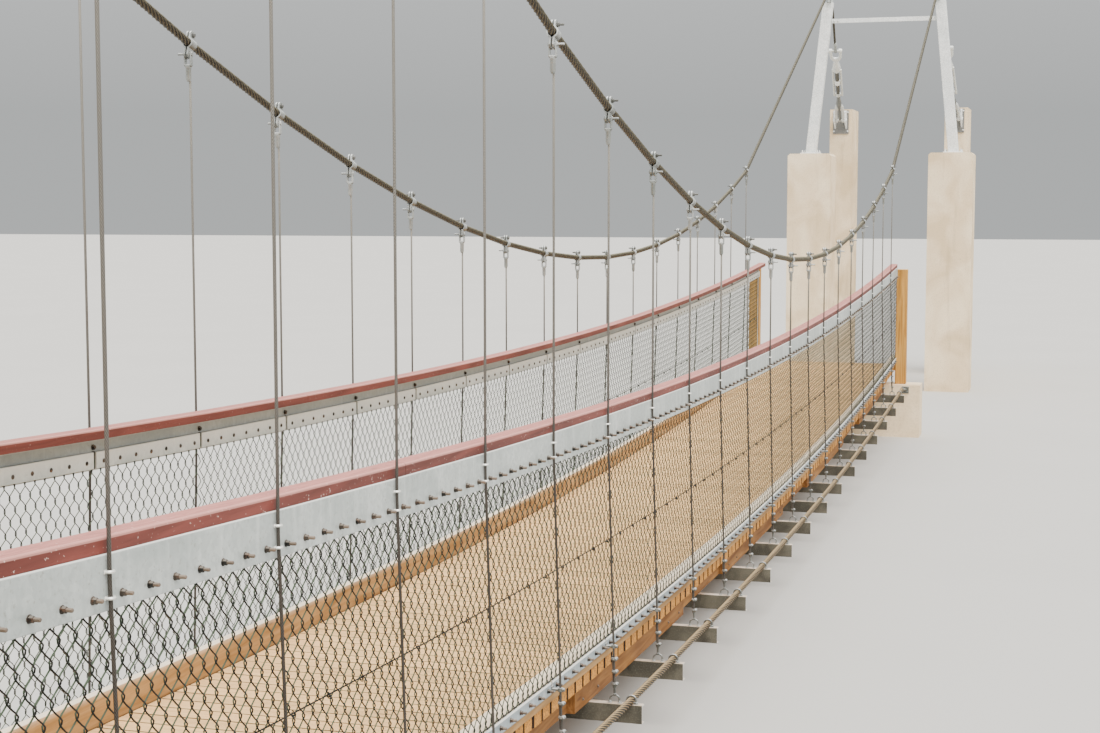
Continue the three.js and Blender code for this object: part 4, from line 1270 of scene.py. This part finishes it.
# Turned forms of a backstay: wear, sides, and each step as (share of the stay, radius). Pale values are
# painted highlight; the dark values of the rods and screw inside the frame are painted shade.
STAY_SOCKET = (0.0, 16, (0.395, 0.025), (0.402, 0.034), (0.418, 0.034), (0.43, 0.027), (0.46, 0.038))
STAY_FORMS = (
    (-0.6, 16, (0.522, 0.026), (0.535, 0.045), (0.560, 0.062), (0.585, 0.074), (0.600, 0.070),
     (0.605, 0.04)),
    (0.9, 12, (0.60, 0.036), (0.70, 0.036)),
    (0.9, 12, (0.70, 0.036), (0.83, 0.030)),
    (-0.9, 20, (0.680, 0.036), (0.687, 0.052), (0.707, 0.052), (0.714, 0.036)),
)
STAY_SCREW = (
    (0.6, 14, (0.80, 0.032), (0.83, 0.034), (0.862, 0.052), (0.885, 0.046)),
    (0.6, 12, (0.88, 0.022), (1.0, 0.022)),
)


def make_backstay(name, end, side):
    """From the rope's socket down: bow shackle, rigging screw with its frame, and the fork."""
    shape = Shape()
    line = unit(backstay_point(end, side, 1) - backstay_point(end, side, 0.5))
    length = np.linalg.norm(backstay_point(end, side, 1) - backstay_point(end, side, 0.45)) / 0.55
    across = unit(np.cross(line, (0, 0, 1)))

    def at(share, sideways=0.0):
        return backstay_point(end, side, share) + across * sideways

    def turned(form, sideways=0.0):
        shape.wear, sides, *steps = form
        first, last = steps[0][0], steps[-1][0]
        profile = [((share - first) * length, radius) for share, radius in steps]
        shape.turned(at(first, sideways), at(last, sideways), profile, sides)

    def crosswise(share, half, profile, sides=14):
        shape.turned(at(share, -half), at(share, half), profile, sides)

    def bent(share, arm_y, reach, angles):
        """The round part of a bow or fork."""
        return [at(share, arm_y * math.sin(a)) + line * reach * length * math.cos(a)
                for a in np.radians(angles)]

    turned(STAY_SOCKET)
    # Pale shackle pin and bow: painted highlight
    shape.wear = -0.6
    crosswise(SHACKLE_SHARE, 0.115, [(0, 0.030), (0.020, 0.032), (0.021, 0.019), (0.205, 0.019),
                                     (0.206, 0.033), (0.230, 0.033)])
    bow = [at(SHACKLE_SHARE, -ARM_Y), at(SHACKLE_SHARE + 0.025, -ARM_Y),
           *bent(BOW_SHARE, ARM_Y, 0.030, np.linspace(-90, 90, 13)),
           at(SHACKLE_SHARE + 0.025, ARM_Y), at(SHACKLE_SHARE, ARM_Y)]
    shape.tube(bow, 0.025 + 0.016 * np.sin(np.linspace(0, np.pi, len(bow))) ** 4, 12)
    for sign in (-1, 1):
        shape.rod(at(SHACKLE_SHARE, sign * 0.058), at(SHACKLE_SHARE, sign * 0.105), 0.040, 12)
    for form in STAY_FORMS:
        turned(form)
    for sign in (-1, 1):
        turned((-0.5, 12, (0.598, 0.019), (0.80, 0.019)), sign * FRAME_Y)
    for share in (0.603, 0.790):
        crosswise(share, 0.082, [(0, 0.024), (0.164, 0.024)])
        turned((-0.5, 16, (share - 0.010, 0.040), (share + 0.012, 0.040)))
    for form in STAY_SCREW:
        turned(form)
    # Pale fork: painted highlight
    shape.wear = -0.5
    fork = [at(1, -FORK_ARM_Y), at(0.95, -FORK_ARM_Y - 0.006),
            *bent(0.915, FORK_ARM_Y, -0.042, np.linspace(-75, 75, 9)),
            at(0.95, FORK_ARM_Y + 0.006), at(1, FORK_ARM_Y)]
    shape.tube(fork, 0.028, 12)
    pin = 2 * LUG_INNER - 2 * CLEARANCE
    crosswise(1, pin / 2, [(0, 0.022), (pin, 0.022)])
    for sign in (-1, 1):
        eye = FORK_ARM_Y * sign
        boss = [(0, 0.040), (0.002, 0.044), (0.046, 0.044), (0.048, 0.040)]
        shape.turned(at(1, eye - 0.024), at(1, eye + 0.024), boss, 20)
    shape.piece(f"{name}_backstay_fittings", STAY_STEEL, f"{name}_backstay")


def make_lugs(name, end, side):
    """A back plate that is bolted to the anchor block, and two lugs that hold the stay's pin."""
    shape = Shape()
    y = side * ANCHOR_Y
    back = end * (ANCHOR_FRONT - CLEARANCE)
    front = back - end * LUG_PLATE_STEEL
    top = ANCHOR_Z + LUG_ABOVE
    # The back plate is darkened as painted shade between the lugs
    shape.wear = 0.85
    shape.box((back, y - LUG_PLATE_HALF, ANCHOR_Z - LUG_BELOW), (front, y + LUG_PLATE_HALF, top), 0.002)
    shape.wear = 0.0
    nose = [(end * ANCHOR_X + end * LUG_NOSE * math.cos(a), ANCHOR_Z + LUG_NOSE * math.sin(a))
            for a in np.radians(np.linspace(180, 250, 6))]
    outline = [(front, top - 0.002), (nose[0][0] + end * 0.018, top - 0.012), (nose[0][0], top - 0.035),
               *nose, (front, ANCHOR_Z - 0.150)]
    for sign in (-1, 1):
        shape.across(outline, y + sign * LUG_INNER, y + sign * LUG_OUTER)
    for sign in (-1, 1):
        for rise in LUG_BOLT_RISES:
            place = (front, y + sign * LUG_BOLT_Y, ANCHOR_Z + rise)
            shape.stud(place, (-end, 0, 0), 0.012, 0.012, 0.030, 0.008)
        pin = (end * ANCHOR_X, y + sign * LUG_OUTER, ANCHOR_Z)
        shape.turned(pin, (pin[0], pin[1] + sign, pin[2]), [(0, 0.032), (0.012, 0.032), (0.014, 0.028)], 16)
    shape.piece(f"{name}_lug_steel", TOWER_STEEL, f"{name}_anchor_lugs")


# End posts and concrete

def make_post(name):
    shape = Shape()
    shape.tint = chance.uniform(0.4, 0.6)
    shape.box(*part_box(f"{name}_end_post"), 0.006)
    shape.piece(f"{name}_post_timber", POST_TIMBER, f"{name}_end_post", sharp=FLAT)


def dress_concrete():
    """The piers, anchor blocks and bank seats keep their own shape."""
    for name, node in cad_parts.items():
        if name.endswith(("_pier", "_anchor_block", "_bank_seat")):
            node.data.materials.clear()
            node.data.materials.append(CONCRETE)


# Camera, floor and light

FOCAL_LENGTH = 58.56
SENSOR_WIDTH = 36
CAMERA_PLACE = (-16.017, -3.321, 3.05)
CAMERA_YAW = math.radians(16.70)
CAMERA_PITCH = math.radians(-5.146)
FLOOR_REACH = 150
SKY_LOW = ("d9dcdc", 0.75)
SKY_HIGH = ("ffffff", 2.15)
SUN_ENERGY = 4.8
SUN_ANGLE = 48
SUN_COLOUR = (1.0, 0.97, 0.92)
SUN_TRAVEL = (0.48, 0.36, -0.80)


def link(name, data):
    made = bpy.data.objects.new(name, data)
    bpy.context.scene.collection.objects.link(made)
    return made


def make_camera():
    data = bpy.data.cameras.new("camera")
    data.sensor_fit = "HORIZONTAL"
    data.sensor_width = SENSOR_WIDTH
    data.lens = FOCAL_LENGTH
    data.clip_start, data.clip_end = 0.05, 300
    forward = Vector((math.cos(CAMERA_YAW) * math.cos(CAMERA_PITCH),
                      math.sin(CAMERA_YAW) * math.cos(CAMERA_PITCH), math.sin(CAMERA_PITCH)))
    right = Vector((math.sin(CAMERA_YAW), -math.cos(CAMERA_YAW), 0))
    turn = Matrix((right, right.cross(forward), -forward)).transposed()
    camera = link("camera", data)
    camera.matrix_world = Matrix.Translation(CAMERA_PLACE) @ turn.to_4x4()
    bpy.context.scene.camera = camera


def make_floor():
    mesh = bpy.data.meshes.new("floor")
    corners = [(FLOOR_REACH * a, FLOOR_REACH * b, 0) for a, b in ((-1, -1), (1, -1), (1, 1), (-1, 1))]
    mesh.from_pydata(corners, [], [(0, 1, 2, 3)])
    f = Finish("floor", 0.9, specular=0.1)
    f.put(f.shader.inputs["Base Color"], f.mix(f.noise(0.4, detail=2), "bfbdb8", "c6c4bf"))
    mesh.materials.append(f.material)
    link("floor", mesh)


def make_light():
    """A sky that is brighter overhead than at the horizon, and a wide soft sun."""
    world = bpy.data.worlds.new("studio")
    world.use_nodes = True
    nodes, links = world.node_tree.nodes, world.node_tree.links
    place = nodes.new("ShaderNodeTexCoord")
    height = nodes.new("ShaderNodeSeparateXYZ")
    ramp = nodes.new("ShaderNodeMapRange")
    ramp.inputs["From Min"].default_value = 0.05
    ramp.inputs["From Max"].default_value = 0.9
    blend = nodes.new("ShaderNodeMix")
    blend.data_type = "RGBA"
    for index, (colour, strength) in ((6, SKY_LOW), (7, SKY_HIGH)):
        blend.inputs[index].default_value = (*[part * strength for part in shade(colour)[:3]], 1)
    links.new(place.outputs["Generated"], height.inputs[0])
    links.new(height.outputs["Z"], ramp.inputs["Value"])
    links.new(ramp.outputs[0], blend.inputs[0])
    links.new(blend.outputs[2], nodes["Background"].inputs["Color"])
    bpy.context.scene.world = world
    sun = bpy.data.lights.new("sun", "SUN")
    sun.energy = SUN_ENERGY
    sun.angle = math.radians(SUN_ANGLE)
    sun.color = SUN_COLOUR
    link("sun", sun).rotation_euler = Vector(SUN_TRAVEL).to_track_quat("-Z", "Y").to_euler()


make_camera()
make_floor()
make_light()
for side_name, side in SIDES.items():
    for make in (make_cap, make_rail_plate, make_rail_bolts, make_mesh, make_kickboard, make_stringers,
                 make_strips, make_hangers, make_main_rope, make_clamps, make_lower_rope):
        make(side_name, side)
make_deck()
make_transoms()
for end_name, end in ENDS.items():
    make_crossbar(end_name, end)
    for side_name, side in SIDES.items():
        corner = f"{end_name}_{side_name}"
        for make in (make_leg, make_saddle, make_backstay, make_lugs):
            make(corner, end, side)
        make_post(corner)
dress_concrete()
